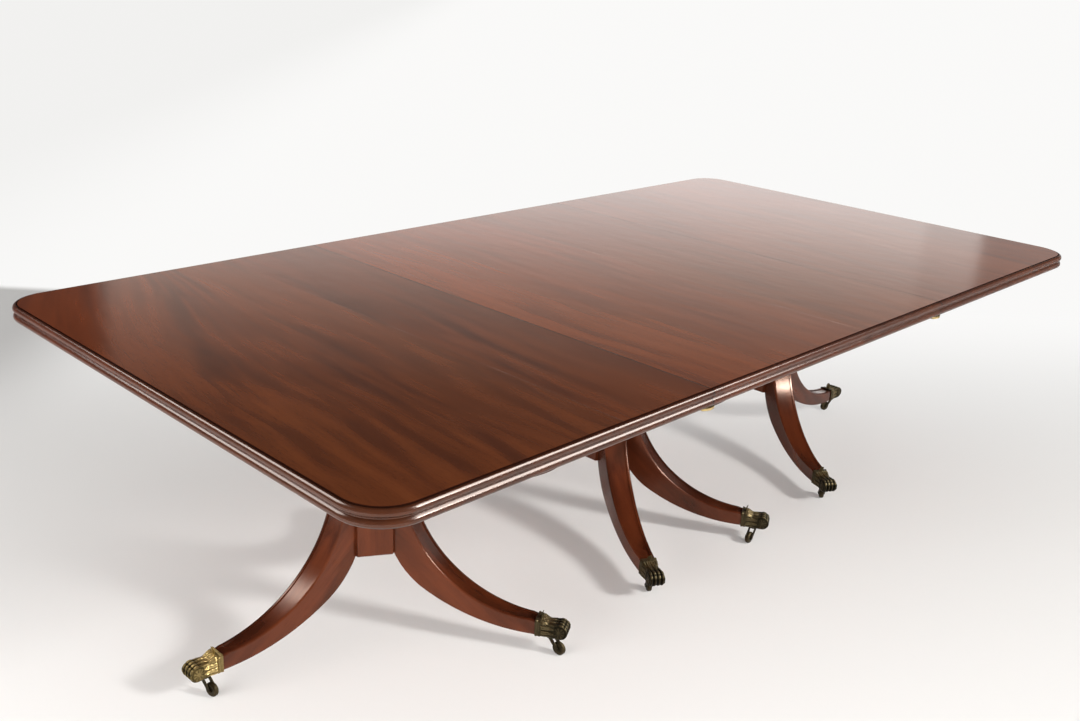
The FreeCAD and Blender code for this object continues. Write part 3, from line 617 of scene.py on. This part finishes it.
castor = {
    "mouth": 0.416, "collarEnd": 0.429, "collarProud": 0.002, "collarLow": 0.25, "collarRound": 0.07,
    "toeX": 0.474, "toeZ": 0.0635, "toeRadius": 0.020, "toeTaper": 0.10, "toeFlat": 0.985,
    "halfWidths": [(0.416, 0.0212), (0.429, 0.0206), (0.448, 0.0190), (0.466, 0.0208), (0.474, 0.0215)],
    "tops": [(0.416, 0.0877), (0.429, 0.0858), (0.448, 0.0815), (0.464, 0.0822), (0.474, 0.0835)],
    "bottoms": [(0.416, 0.0453), (0.429, 0.0448), (0.440, 0.0432), (0.464, 0.0430), (0.474, 0.0435)],
    "corners": [(0.416, 0.0040), (0.429, 0.0060), (0.448, 0.0085), (0.474, 0.0070)],
    "stations": 62, "frontSteps": 24, "flat": 36, "side": 22, "corner": 5,
    "cavity": {"places": (0.416, 0.4442), "halfWidths": (0.0206, 0.0182), "tops": (0.0847, 0.0782),
               "bottoms": (0.0487, 0.0483), "corner": 0.0012},
    "bore": {"x": 0.4520, "radius": 0.00406, "from": 0.036, "to": 0.0584},
    "sharpDegrees": 38,
}
leaf = {
    "rise": 0.0017, "pitch": 0.0125, "end": 0.4620, "taper": 2.4, "width": 0.94, "edge": 0.30,
    "vein": 0.16, "veinDepth": 0.55, "lobes": 3.2, "slant": 0.9, "lobeDepth": 0.45, "ground": 0.35,
    "below": 0.35,
}
paw = {
    "from": (0.4575, 0.4680), "toes": 4, "groove": 0.0036,
    "knuckle": 0.0016, "creases": ((102, 0.8), (55, 1.0), (16, 0.7)), "creaseWidth": 6.5,
    "claw": 0.0018, "clawWidth": 0.0021, "nailTop": (18, 6), "nailBottom": (-62, -50),
    "ringDepth": 0.9, "ringAt": 0.78, "ringWidth": 0.10, "ringFrom": (-70, -40),
    "petals": 9, "petalDepth": 0.0013, "petalInner": (0.16, 0.34), "petalOuter": (0.74, 0.62),
}
crest = {
    "x": 0.4262, "z": 0.0850, "height": 0.0200, "halfWidth": 0.0062, "thickness": 0.0046, "lean": 0.0050,
    "foot": 0.82, "flare": 0.5, "thinning": 0.45, "ribs": 5, "ribDepth": 0.20, "steps": 14, "spokes": 40,
}
beading = {"radius": 0.00095, "spacing": 0.0024, "x": 0.4296, "proud": 0.0003}

# how bright each brass piece is worn, and how much brighter a cap's faces are made where they look up
wear = {
    "plain": 0.62, "fullRise": 0.0030, "upward": 0.12, "socket": 0.1, "crest": 0.80, "beads": 0.85,
    "fork": 0.38, "forkEnds": 0.2, "wheel": 0.62, "fitting": 0.72, "screws": 0.55,
}


def between(stops, at):
    # smooth interpolation through (place, value) pairs
    if at <= stops[0][0]:
        return stops[0][1]
    for (x0, v0), (x1, v1) in zip(stops, stops[1:]):
        if at <= x1:
            t = (at - x0) / (x1 - x0)
            return v0 + (v1 - v0) * t * t * (3 - 2 * t)
    return stops[-1][1]


def roundedLoop(x, halfWidth, top, bottom, radius):
    # a rounded rectangle in the plane of one station, always with the same number of points
    flat, side, corner = castor["flat"], castor["side"], castor["corner"]
    radius = max(min(radius, halfWidth * 0.98, (top - bottom) * 0.49), 0.0)
    y, high, low = halfWidth - radius, top - radius, bottom + radius
    centres = [(y, high), (-y, high), (-y, low), (y, low)]
    points = []
    # walks each corner, then the side that follows it, round the section
    for number, (cy, cz) in enumerate(centres):
        for step in range(corner):
            turn = math.radians(90 * number + 90 * step / (corner - 1))
            points.append(Vector((x, cy + radius * math.cos(turn), cz + radius * math.sin(turn))))
        nextY, nextZ = centres[(number + 1) % 4]
        end = math.radians(90 * number + 90)
        start = Vector((x, cy + radius * math.cos(end), cz + radius * math.sin(end)))
        finish = Vector((x, nextY + radius * math.cos(end), nextZ + radius * math.sin(end)))
        count = flat if number % 2 == 0 else side
        points += [start.lerp(finish, (step + 1) / (count + 1)) for step in range(count)]
    return points


def capStation(x, proud=0.0, level=1.0):
    # the cap's section at x, wider by proud and higher and lower by a share of it
    kinds = ("halfWidths", "tops", "bottoms", "corners")
    halfWidth, top, bottom, corner = (between(castor[kind], x) for kind in kinds)
    return roundedLoop(x, halfWidth + proud, top + proud * level, bottom - proud * level, corner)


def capLoops():
    loops = []
    for step in range(castor["stations"] + 1):
        x = castor["mouth"] + (castor["toeX"] - castor["mouth"]) * step / castor["stations"]
        proud = 0.0
        if x < castor["collarEnd"]:
            t = (x - castor["mouth"]) / (castor["collarEnd"] - castor["mouth"])
            edge = smooth(0.0, castor["collarRound"], t) * smooth(1.0, 1 - castor["collarRound"], t)
            moulded = edge * abs(math.cos(math.pi * t)) ** 0.5
            proud = castor["collarProud"] * (castor["collarLow"] + (1 - castor["collarLow"]) * moulded)
        loops.append(capStation(x, proud, 0.5))
    for step in range(1, castor["frontSteps"] + 1):
        turn = math.radians(90 * step / castor["frontSteps"])
        rise = castor["toeRadius"] * math.cos(turn)
        x = castor["toeX"] + castor["toeRadius"] * math.sin(turn) * castor["toeFlat"]
        narrow = 1 - castor["toeTaper"] * (1 - math.cos(turn)) ** 2
        loops.append(roundedLoop(x, castor["halfWidths"][-1][1] * narrow, castor["toeZ"] + rise,
                                 castor["toeZ"] - rise, castor["corners"][-1][1] * math.cos(turn)))
    return loops


def leafRelief(along, across):
    # a row of pointed leaves with a vein and slanted lobes: along is 0 at the collar, 1 at the tips
    column = across / leaf["pitch"]
    fromVein = abs(column - math.floor(column) - 0.5) * 2
    width = math.sqrt(max(1 - max(along, 0.0) ** leaf["taper"], 0.0)) * leaf["width"]
    body = smooth(width, width - leaf["edge"], fromVein) if width > 0.05 else 0.0
    vein = math.exp(-(fromVein / leaf["vein"]) ** 2)
    lobes = 0.5 + 0.5 * math.cos(2 * math.pi * (along * leaf["lobes"] - fromVein * leaf["slant"]))
    raised = 1 - leaf["lobeDepth"] * (1 - lobes) - leaf["veinDepth"] * vein
    return body * raised - (1 - body) * leaf["ground"] * smooth(1.25, 1.0, along)


def pawRelief(co, normal):
    # grooves between the toes, creases over the knuckles, claws, and a ringed rosette on each side
    facing = 1 - normal.y ** 2
    inPaw = smooth(*paw["from"], co.x) * facing
    pitch = 2 * castor["halfWidths"][-1][1] / paw["toes"]
    toe = abs(math.sin(math.pi * co.y / pitch))
    fromToeX, fromToeZ = co.x - castor["toeX"], co.z - castor["toeZ"]
    angle = math.degrees(math.atan2(fromToeZ, fromToeX))
    rise = -paw["groove"] * (1 - toe ** 0.45) * inPaw
    if fromToeX > -0.008 and normal.z > -0.75 and facing > 0.3:
        for crease, depth in paw["creases"]:
            furrow = math.exp(-((angle - crease) / paw["creaseWidth"]) ** 2)
            rise -= paw["knuckle"] * depth * furrow * inPaw
        nail = smooth(*paw["nailTop"], angle) * smooth(*paw["nailBottom"], angle)
        fromCentre = (co.y / pitch - math.floor(co.y / pitch) - 0.5) * pitch
        rise -= paw["claw"] * nail * (1 - math.exp(-(fromCentre / paw["clawWidth"]) ** 2)) * facing
    if facing < 0.5 and fromToeX > -0.012:
        reach = math.hypot(fromToeX, fromToeZ) / castor["toeRadius"]
        ring = math.exp(-((reach - paw["ringAt"]) / paw["ringWidth"]) ** 2)
        ring *= smooth(*paw["ringFrom"], angle)
        petal = 1 - abs(math.sin(math.radians(angle) * paw["petals"] / 2)) ** 0.6
        petal *= smooth(*paw["petalInner"], reach) * smooth(*paw["petalOuter"], reach)
        rise -= paw["knuckle"] * paw["ringDepth"] * ring + paw["petalDepth"] * petal
    return rise


def capRelief(co, normal):
    # what the founder modelled on the plain loft: leaves on the body, toes and claws on the paw
    rise = pawRelief(co, normal)
    if co.x > castor["collarEnd"]:
        across = co.z - castor["toeZ"] if abs(normal.y) > 0.7 else co.y
        along = (co.x - castor["collarEnd"]) / (leaf["end"] - castor["collarEnd"])
        below = leaf["below"] if normal.z < -0.6 else 1.0
        corner = 0.3 + 0.7 * smooth(0.0, 0.25, abs(abs(normal.y) - 0.7))
        rise += leafRelief(along, across) * below * leaf["rise"] * corner * smooth(0.0, 0.10, along)
    return rise


def crestLoops():
    # a small ribbed palmette that stands up from the collar and leans over the leaves
    loops = []
    for step in range(crest["steps"] + 1):
        t = step / crest["steps"]
        width = crest["halfWidth"] * (crest["foot"] + crest["flare"] * t) * (1 - t ** 3.2) ** 0.55
        depth = crest["thickness"] / 2 * (1 - crest["thinning"] * t) * (1 - t ** 4) ** 0.5
        x = crest["x"] + crest["lean"] * t * t
        z = crest["z"] + crest["height"] * t
        loop = []
        for spoke in range(crest["spokes"]):
            turn = 2 * math.pi * spoke / crest["spokes"]
            y = math.cos(turn)
            rib = 1 + crest["ribDepth"] * abs(math.cos(crest["ribs"] * math.asin(y))) * t
            loop.append(Vector((x + depth * math.sin(turn) * rib, width * y * rib, z)))
        loops.append(loop)
    return loops


def addRings(work, loops):
    return [[work.verts.new(point) for point in loop] for loop in loops]


def stitch(work, rings, inward=False):
    # quads from each ring of points to the next
    for lower, upper in zip(rings, rings[1:]):
        for i in range(len(lower)):
            j = (i + 1) % len(lower)
            if inward:
                work.faces.new((lower[i], upper[i], upper[j], lower[j]))
            else:
                work.faces.new((lower[i], lower[j], upper[j], upper[i]))


def closeSeams(work):
    bmesh.ops.remove_doubles(work, verts=work.verts, dist=1e-6)
    bmesh.ops.recalc_face_normals(work, faces=work.faces)
    work.normal_update()


def capMesh():
    work = bmesh.new()
    layer = work.verts.layers.float.new("relief")
    outer = addRings(work, capLoops())
    stitch(work, outer)
    closeSeams(work)
    for v, rise in [(v, capRelief(v.co, v.normal)) for v in work.verts]:
        v.co += v.normal * rise
        # faces that look up are made brighter and faces that look down darker
        bright = wear["plain"] + rise / wear["fullRise"] + wear["upward"] * v.normal.z
        v[layer] = min(max(bright, 0.0), 1.0)
        if v.co.x < castor["collarEnd"]:
            v[layer] = wear["plain"]
    # the socket that holds the leg's toe
    cavity = castor["cavity"]
    ends = zip(cavity["places"], cavity["halfWidths"], cavity["tops"], cavity["bottoms"])
    socket = addRings(work, [roundedLoop(*end, cavity["corner"]) for end in ends])
    stitch(work, [outer[0], *socket], inward=True)
    work.faces.new(socket[-1])
    for ring in socket:
        for v in ring:
            v[layer] = wear["socket"]
    bmesh.ops.recalc_face_normals(work, faces=work.faces)
    return meshFrom(work, "capPattern")


def crestMesh():
    work = bmesh.new()
    layer = work.verts.layers.float.new("relief")
    rings = addRings(work, crestLoops())
    stitch(work, rings)
    work.faces.new(list(reversed(rings[0])))
    closeSeams(work)
    for v in work.verts:
        v[layer] = wear["crest"]
    return meshFrom(work, "crestPattern")


def plainMesh(holder, name):
    # the evaluated shape of an object as a mesh with no modifiers left
    depsgraph = bpy.context.evaluated_depsgraph_get()
    mesh = bpy.data.meshes.new_from_object(holder.evaluated_get(depsgraph), depsgraph=depsgraph)
    mesh.name = name
    return mesh


def boredCap():
    # the cap with the hole that the castor's pin turns in
    bore = castor["bore"]
    radius, depth = bore["radius"], bore["to"] - bore["from"]
    middle = Matrix.Translation((bore["x"], 0, bore["from"] + depth / 2))
    work = bmesh.new()
    bmesh.ops.create_cone(work, cap_ends=True, segments=28, radius1=radius, radius2=radius, depth=depth,
                          matrix=middle)
    cap = addObject("capPattern", capMesh())
    cutter = addObject("capBore", meshFrom(work, "capBore"))
    modifier = cap.modifiers.new("bore", "BOOLEAN")
    modifier.operation = "DIFFERENCE"
    modifier.solver = "EXACT"
    modifier.object = cutter
    mesh = plainMesh(cap, "capBored")
    for piece in (cap, cutter):
        bpy.data.objects.remove(piece)
    return mesh


def legFrame(section, angle):
    # from a leg's own frame to its place in the table
    turn = Matrix.Rotation(math.radians(angle), 4, "Z")
    return Matrix.Translation((table["pedestals"][section], 0, 0)) @ turn


def joinedCopies(patterns, places, name):
    work = bmesh.new()
    for place in places:
        for pattern in patterns:
            copy = pattern.copy()
            copy.transform(place)
            work.from_mesh(copy)
            bpy.data.meshes.remove(copy)
    return meshFrom(work, name)


class Tree(Wiring):
    # a geometry tree with named inputs, used on a holder mesh that is then turned into a plain mesh
    def __init__(self, name, **inputs):
        self.group = bpy.data.node_groups.new(name, "GeometryNodeTree")
        super().__init__(self.group)
        for direction in ("INPUT", "OUTPUT"):
            self.addSocket("Geometry", "Geometry", direction)
        self.values = {}
        for label, value in inputs.items():
            kind = "Int" if isinstance(value, int) else "Float"
            self.values[self.addSocket(label, kind).identifier] = value
        self.start = self.nodes.new("NodeGroupInput")
        self.finish = self.nodes.new("NodeGroupOutput")

    def addSocket(self, name, kind, direction="INPUT"):
        return self.group.interface.new_socket(name=name, in_out=direction,
                                               socket_type="NodeSocket" + kind)

    def input(self, name):
        return Wire(self, self.start.outputs[name])

    def moved(self, geometry, z):
        offset = self.add("ShaderNodeCombineXYZ", {}, {2: z})
        return self.add("GeometryNodeTransform", {}, {0: geometry, "Translation": offset})

    def close(self, geometry, material, shadeSmooth):
        whole = self.add("GeometryNodeRealizeInstances", {}, {0: geometry})
        shaded = self.add("GeometryNodeSetShadeSmooth", {}, {0: whole, "Shade Smooth": shadeSmooth})
        painted = self.add("GeometryNodeSetMaterial", {}, {0: shaded, "Material": material})
        self.links.new(painted.socket, self.finish.inputs[0])

    def grow(self, holderMesh, name):
        holder = addObject(name, holderMesh)
        modifier = holder.modifiers.new("grow", "NODES")
        modifier.node_group = self.group
        for identifier, value in self.values.items():
            modifier[identifier] = value
        mesh = plainMesh(holder, name)
        holder.modifiers.clear()
        bpy.data.objects.remove(holder)
        return addObject(name, mesh)


def beadTree(paint):
    # round beads strung at even spaces along the edges of the holder
    tree = Tree("collarBeads", Spacing=beading["spacing"], Radius=beading["radius"])
    curve = tree.add("GeometryNodeMeshToCurve", {}, {0: tree.input("Geometry")})
    spaced = tree.add("GeometryNodeResampleCurve", {"mode": "LENGTH"},
                      {0: curve, "Length": tree.input("Spacing")})
    bead = tree.add("GeometryNodeMeshUVSphere", {},
                    {"Segments": 8, "Rings": 5, "Radius": tree.input("Radius")})
    strung = tree.add("GeometryNodeInstanceOnPoints", {}, {"Points": spaced, "Instance": bead})
    tree.close(strung, paint, True)
    return tree


def beadLoop(section, angles):
    # the line the beads sit on: the front edge of each collar
    work = bmesh.new()
    loop = capStation(beading["x"], beading["proud"])
    for angle in angles:
        ring = [work.verts.new(legFrame(section, angle) @ point) for point in loop]
        for one, other in zip(ring, ring[1:] + ring[:1]):
            work.edges.new((one, other))
    return meshFrom(work, section + "BeadLoop")


capPattern = boredCap()
crestPattern = crestMesh()
print("castor cap modelled:", len(capPattern.polygons), "faces")

beads = beadTree(castorBrass)
for section, legs in table["legs"].items():
    ring = beads.grow(beadLoop(section, legs.values()), section + "CollarBeads")
    writeRelief(ring, wear["beads"])
    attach(ring, bodyOf(section + "_castor_caps"))
    slotOf(section + "_castor_caps")
    frames = [legFrame(section, angle) for angle in legs.values()]
    mesh = joinedCopies([capPattern, crestPattern], frames, section + "PawCaps")
    mesh.materials.clear()
    mesh.materials.append(castorBrass)
    mesh.shade_smooth()
    mesh.set_sharp_from_angle(angle=math.radians(castor["sharpDegrees"]))
    caps = addObject(section + "PawCaps", mesh)
    settle(caps, section + "_castor_caps")
    for place in legs:
        name = section + place.replace("_", "")
        fork = weldedCopy(f"{section}_{place}_fork", name + "Fork", castorBrass, sharpDegrees=30)
        writeRelief(fork, wear["fork"], wear["forkEnds"])
        wheel = weldedCopy(f"{section}_{place}_wheel", name + "Wheel", wheelBrass, sharpDegrees=30)
        writeRelief(wheel, wear["wheel"])

for node in frame["nodes"]:
    if slotOf(node) == "fitting_brass":
        fitting = weldedCopy(node, node.replace("_", "") + "Brass", fittingBrass, sharpDegrees=30)
        writeRelief(fitting, wear["fitting"])
print("brass done")


# Slotted screws under the table: in the bearers, the keepers and the catch cases

screws = {"radius": 0.0042, "height": 0.0009, "slotWidth": 0.001, "taper": 0.82, "sides": 18, "seed": 11}

# each kind's height, size, distances from the middle line and places along each section
screwRows = {
    "bearers": {"z": 0.6580, "size": 1.0, "across": (0.1404,), "centre": (-0.30, -0.12, 0.12, 0.30),
                "near": (-1.15, -0.99, -0.85, -0.70), "far": (0.70, 0.85, 0.99, 1.15)},
    "keepers": {"z": 0.6870, "size": 0.42, "across": (0.646, 0.670),
                "centre": (-0.4838, -0.4692, 0.4692, 0.4838), "near": (-0.5158, -0.5012),
                "far": (0.5012, 0.5158)},
    "cases": {"z": 0.6940, "size": 0.62, "across": (0.0145,), "centre": (0.1935, 0.2325),
              "near": (-0.6265, -0.5875), "far": (0.5875, 0.6265)},
}


def screwTree(paint):
    # a countersunk head with a slot on every point of the holder, each turned its own way
    tree = Tree("slottedScrews", Radius=screws["radius"], Height=screws["height"],
                Slot=screws["slotWidth"], Seed=screws["seed"])
    radius, height = tree.input("Radius"), tree.input("Height")
    head = tree.add("GeometryNodeMeshCone", {},
                    {"Vertices": screws["sides"], "Radius Top": radius,
                     "Radius Bottom": radius * screws["taper"], "Depth": height})
    size = tree.add("ShaderNodeCombineXYZ", {}, {0: radius * 3.0, 1: tree.input("Slot"), 2: height})
    slot = tree.moved(tree.add("GeometryNodeMeshCube", {}, {"Size": size}), height * -0.5)
    slotted = tree.add("GeometryNodeMeshBoolean", {"operation": "DIFFERENCE"},
                       {"Mesh 1": head, "Mesh 2": slot})
    hung = tree.moved(slotted, height * -0.9)
    turn = tree.add("FunctionNodeRandomValue", {"data_type": "FLOAT"},
                    {2: 0.0, 3: math.pi, "Seed": tree.input("Seed")}, 1)
    rotation = tree.add("ShaderNodeCombineXYZ", {}, {2: turn})
    scale = tree.add("GeometryNodeInputNamedAttribute", {"data_type": "FLOAT"}, {"Name": "size"})
    placed = tree.add("GeometryNodeInstanceOnPoints", {},
                      {"Points": tree.input("Geometry"), "Instance": hung, "Rotation": rotation,
                       "Scale": scale})
    tree.close(placed, paint, False)
    return tree


def screwPoints(section):
    points, sizes = [], []
    for row in screwRows.values():
        for x in row[section]:
            for y in row["across"]:
                points += [(x, -y, row["z"]), (x, y, row["z"])]
                sizes += [row["size"]] * 2
    mesh = bpy.data.meshes.new(section + "ScrewPoints")
    mesh.from_pydata(points, [], [])
    writeAttribute(mesh, "size", "FLOAT", sizes)
    return mesh


heads = screwTree(fittingBrass)
for section, body in (("centre", "base"), ("near", "near_top"), ("far", "far_top")):
    screwed = heads.grow(screwPoints(section), section + "Screws")
    writeRelief(screwed, wear["screws"])
    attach(screwed, body)
print("screws done")


# Studio: floor, soft lamps and the pale backdrop that the polish mirrors

# lengths ahead of the camera and beside it are in metres, backdrop headings are in degrees
studio = {
    "floorReach": 150, "floorTone": (0.880, 0.872, 0.862), "shadowShare": 0.5,
    "paleTone": (0.865, 0.855, 0.848), "paleShare": 0.15,
    # the background is painted greyer toward the left: painted shade
    "backgroundTone": (0.955, 0.95, 0.94), "leftTone": (0.885, 0.880, 0.868), "leftToneFrom": (-4, -2),
    "leftFrom": (-2.15, -1.55), "hardFold": (4.84, 4.93), "softFold": (3.0, 5.2),
    # the floor's painted shadow on the left and painted shade on the right
    "leftShade": (2.95, 4.4), "shadeDepth": 0.62, "rightFrom": (-0.3, 1.8), "rightDepth": 0.52,
}

# what the polish mirrors: the glow is a level for each height
backdrop = {
    "ambient": 0.46, "behind": 0.30, "aheadFrom": (-0.2, 0.3),
    "reach": (22.7, 66.2), "fold": 25.3, "foldLevel": 0.86, "foldEdge": (-0.003, 0.003),
    "besideRight": 0.42, "besideLeft": 0.12, "leftEdge": (-0.004, 0.014),
    "glow": [(0.0, 1.75), (0.17, 1.74), (0.205, 1.55), (0.245, 1.04), (0.28, 0.63), (0.325, 0.32),
             (0.37, 0.10), (0.45, 0.03), (1.0, 0.03)],
    "brightest": 2, "warmFrom": (0.20, 0.31), "warm": (1.12, 0.93, 0.80),
}

lampTone = (1.0, 0.985, 0.965)

# the panels light the wood and show no glint in it, the sheens only show in the polish
lamps = {
    "key": {"place": (1.3, -4.3, 2.65), "aim": (-0.2, 0, 0.2), "size": (0.8, 0.8), "watts": 205,
            "gives": ("light", "glint")},
    "frontPanel": {"place": (-1.9, -4.4, 0.9), "aim": (-0.4, 0, 0.5), "size": (5.0, 1.4),
                   "watts": 140, "gives": ("light",)},
    "endPanel": {"place": (-4.6, -0.2, 0.9), "aim": (0, 0, 0.5), "size": (4.4, 1.4),
                 "watts": 205, "gives": ("light",)},
    "rightSheen": {"place": (2.85, -3.35, 4.4), "aim": (-0.4, -0.9, 0.7), "size": (3.3, 2.6),
                   "watts": 560, "gives": ("glint",)},
    "leftSheen": {"place": (-3.0, 3.3, 3.9), "aim": (-1.2, 0, 0.7), "size": (2.6, 2.4),
                  "watts": 190, "gives": ("glint",)},
}


def stagePaint(name):
    # a matt sheet, with painted shadow on the left and painted shade on the right, that turns into the
    # white background: a hard fold on the left, a soft one elsewhere
    paint = Paint(bpy.data.materials.new(name))
    heading = math.radians(view["headingDegrees"])
    ahead = (math.cos(heading), math.sin(heading), 0)
    beside = (math.sin(heading), -math.cos(heading), 0)
    local = paint.vector("SUBTRACT", paint.objectPlace(), (*view["place"][:2], 0))
    forward, sideways = (paint.vector("DOT_PRODUCT", local, line, "Value") for line in (ahead, beside))
    leftward = paint.step(sideways, *studio["leftFrom"], 1.0, 0.0)
    hard, soft = (paint.step(forward, *studio[fold]) for fold in ("hardFold", "softFold"))
    far = leftward * hard + (1 - leftward) * soft
    shadow = darker(studio["floorTone"], studio["shadowShare"])
    shaded = leftward * paint.step(forward, *studio["leftShade"], 0.0, studio["shadeDepth"])
    tone = paint.mixed(shaded, studio["floorTone"], shadow)
    # painted shade: the floor is made darker toward the right
    rightShade = paint.step(sideways, *studio["rightFrom"], 0.0, studio["rightDepth"])
    tone = paint.mixed(rightShade, tone, shadow)
    camera = paint.ray("Is Camera Ray")
    matt = paint.add("ShaderNodeBsdfDiffuse", {}, {"Color": tone}, "BSDF")
    pale = paint.add("ShaderNodeEmission", {}, {"Color": (*studio["paleTone"], 1), "Strength": 1.0})
    matt = paint.add("ShaderNodeMixShader", {}, {0: camera * studio["paleShare"], 1: matt, 2: pale})
    # painted shade: the background glow turns greyer toward the left
    leftShadedShare = paint.step(sideways, *studio["leftToneFrom"], 1.0, 0.0)
    white = paint.mixed(leftShadedShare, studio["backgroundTone"], studio["leftTone"])
    glow = paint.add("ShaderNodeEmission", {}, {"Color": white, "Strength": 1.0})
    return paint.finish(paint.add("ShaderNodeMixShader", {}, {0: far * camera, 1: matt, 2: glow}))


def makeFloor():
    size = studio["floorReach"]
    corners = [(-size, -size, 0), (size, -size, 0), (size, size, 0), (-size, size, 0)]
    mesh = bpy.data.meshes.new("studioFloor")
    mesh.from_pydata(corners, [], [(0, 1, 2, 3)])
    mesh.materials.append(stagePaint("studioFloor"))
    floor = addObject("studioFloor", mesh)


def makeWorld():
    world = bpy.data.worlds.new("studio")
    bpy.context.scene.world = world
    paint = Paint(world)
    direction = paint.add("ShaderNodeTexCoord", output="Generated")
    x, y, z = (paint.axis(direction, number) for number in range(3))
    low, high, fold = (math.radians(angle) for angle in (*backdrop["reach"], backdrop["fold"]))
    # how far a direction lies inside the backdrop's two upright ends and past its fold
    fromLow = y * math.cos(low) - x * math.sin(low)
    fromHigh = x * math.sin(high) - y * math.cos(high)
    fromFold = y * math.cos(fold) - x * math.sin(fold)
    right = paint.step(fromLow, *backdrop["foldEdge"], backdrop["besideRight"], 1.0) \
        * paint.step(fromFold, *backdrop["foldEdge"], backdrop["foldLevel"], 1.0)
    left = paint.step(fromHigh, *backdrop["leftEdge"], backdrop["besideLeft"], 1.0)
    brightest = backdrop["brightest"]
    glow = paint.ramp(z, [(at, (level / brightest,) * 3) for at, level in backdrop["glow"]]) * brightest
    glossy, camera = (paint.ray(kind) for kind in ("Is Glossy Ray", "Is Camera Ray"))
    ahead = paint.step(x + y, *backdrop["aheadFrom"])
    mirrored = ahead * right * left * glow + (1 - ahead) * backdrop["behind"]
    strength = (glossy * mirrored + (1 - glossy) * backdrop["ambient"]) * (1 - camera) + camera
    warmth = paint.step(z, *backdrop["warmFrom"]) * glossy
    mirroredTone = paint.mixed(warmth, lampTone, backdrop["warm"])
    tint = paint.mixed(camera, mirroredTone, studio["backgroundTone"])
    paint.finish(paint.add("ShaderNodeBackground", {}, {"Color": tint, "Strength": strength}), "World")


def makeLamps():
    for name, values in lamps.items():
        data = bpy.data.lights.new(name, "AREA")
        data.shape = "RECTANGLE"
        data.size, data.size_y = values["size"]
        data.energy = values["watts"]
        data.color = lampTone
        lamp = addObject(name, data)
        lamp.location = values["place"]
        aim = Vector(values["aim"]) - Vector(values["place"])
        lamp.rotation_euler = aim.to_track_quat("-Z", "Y").to_euler()
        lamp.visible_camera = False
        lamp.visible_diffuse = "light" in values["gives"]
        lamp.visible_glossy = "glint" in values["gives"]


def makeCamera():
    heading, drop, roll = (math.radians(view[turn + "Degrees"]) for turn in ("heading", "drop", "roll"))
    right = Vector((math.sin(heading), -math.cos(heading), 0))
    level = Vector((math.cos(heading), math.sin(heading), 0))
    ahead = level * math.cos(drop) - Vector((0, 0, math.sin(drop)))
    up = right.cross(ahead)
    tilted = right * math.cos(roll) + up * math.sin(roll)
    upright = tilted.cross(ahead)
    data = bpy.data.cameras.new("photoView")
    data.sensor_width = 36
    data.lens = view["lens"]
    data.clip_end = 200
    camera = addObject("photoView", data)
    turn = Matrix((tilted, upright, -ahead)).transposed()
    camera.matrix_world = Matrix.Translation(view["place"]) @ turn.to_4x4()
    bpy.context.scene.camera = camera


makeFloor()
makeWorld()
makeLamps()
makeCamera()
bpy.context.scene.view_settings.view_transform = "Standard"
print("studio ready")
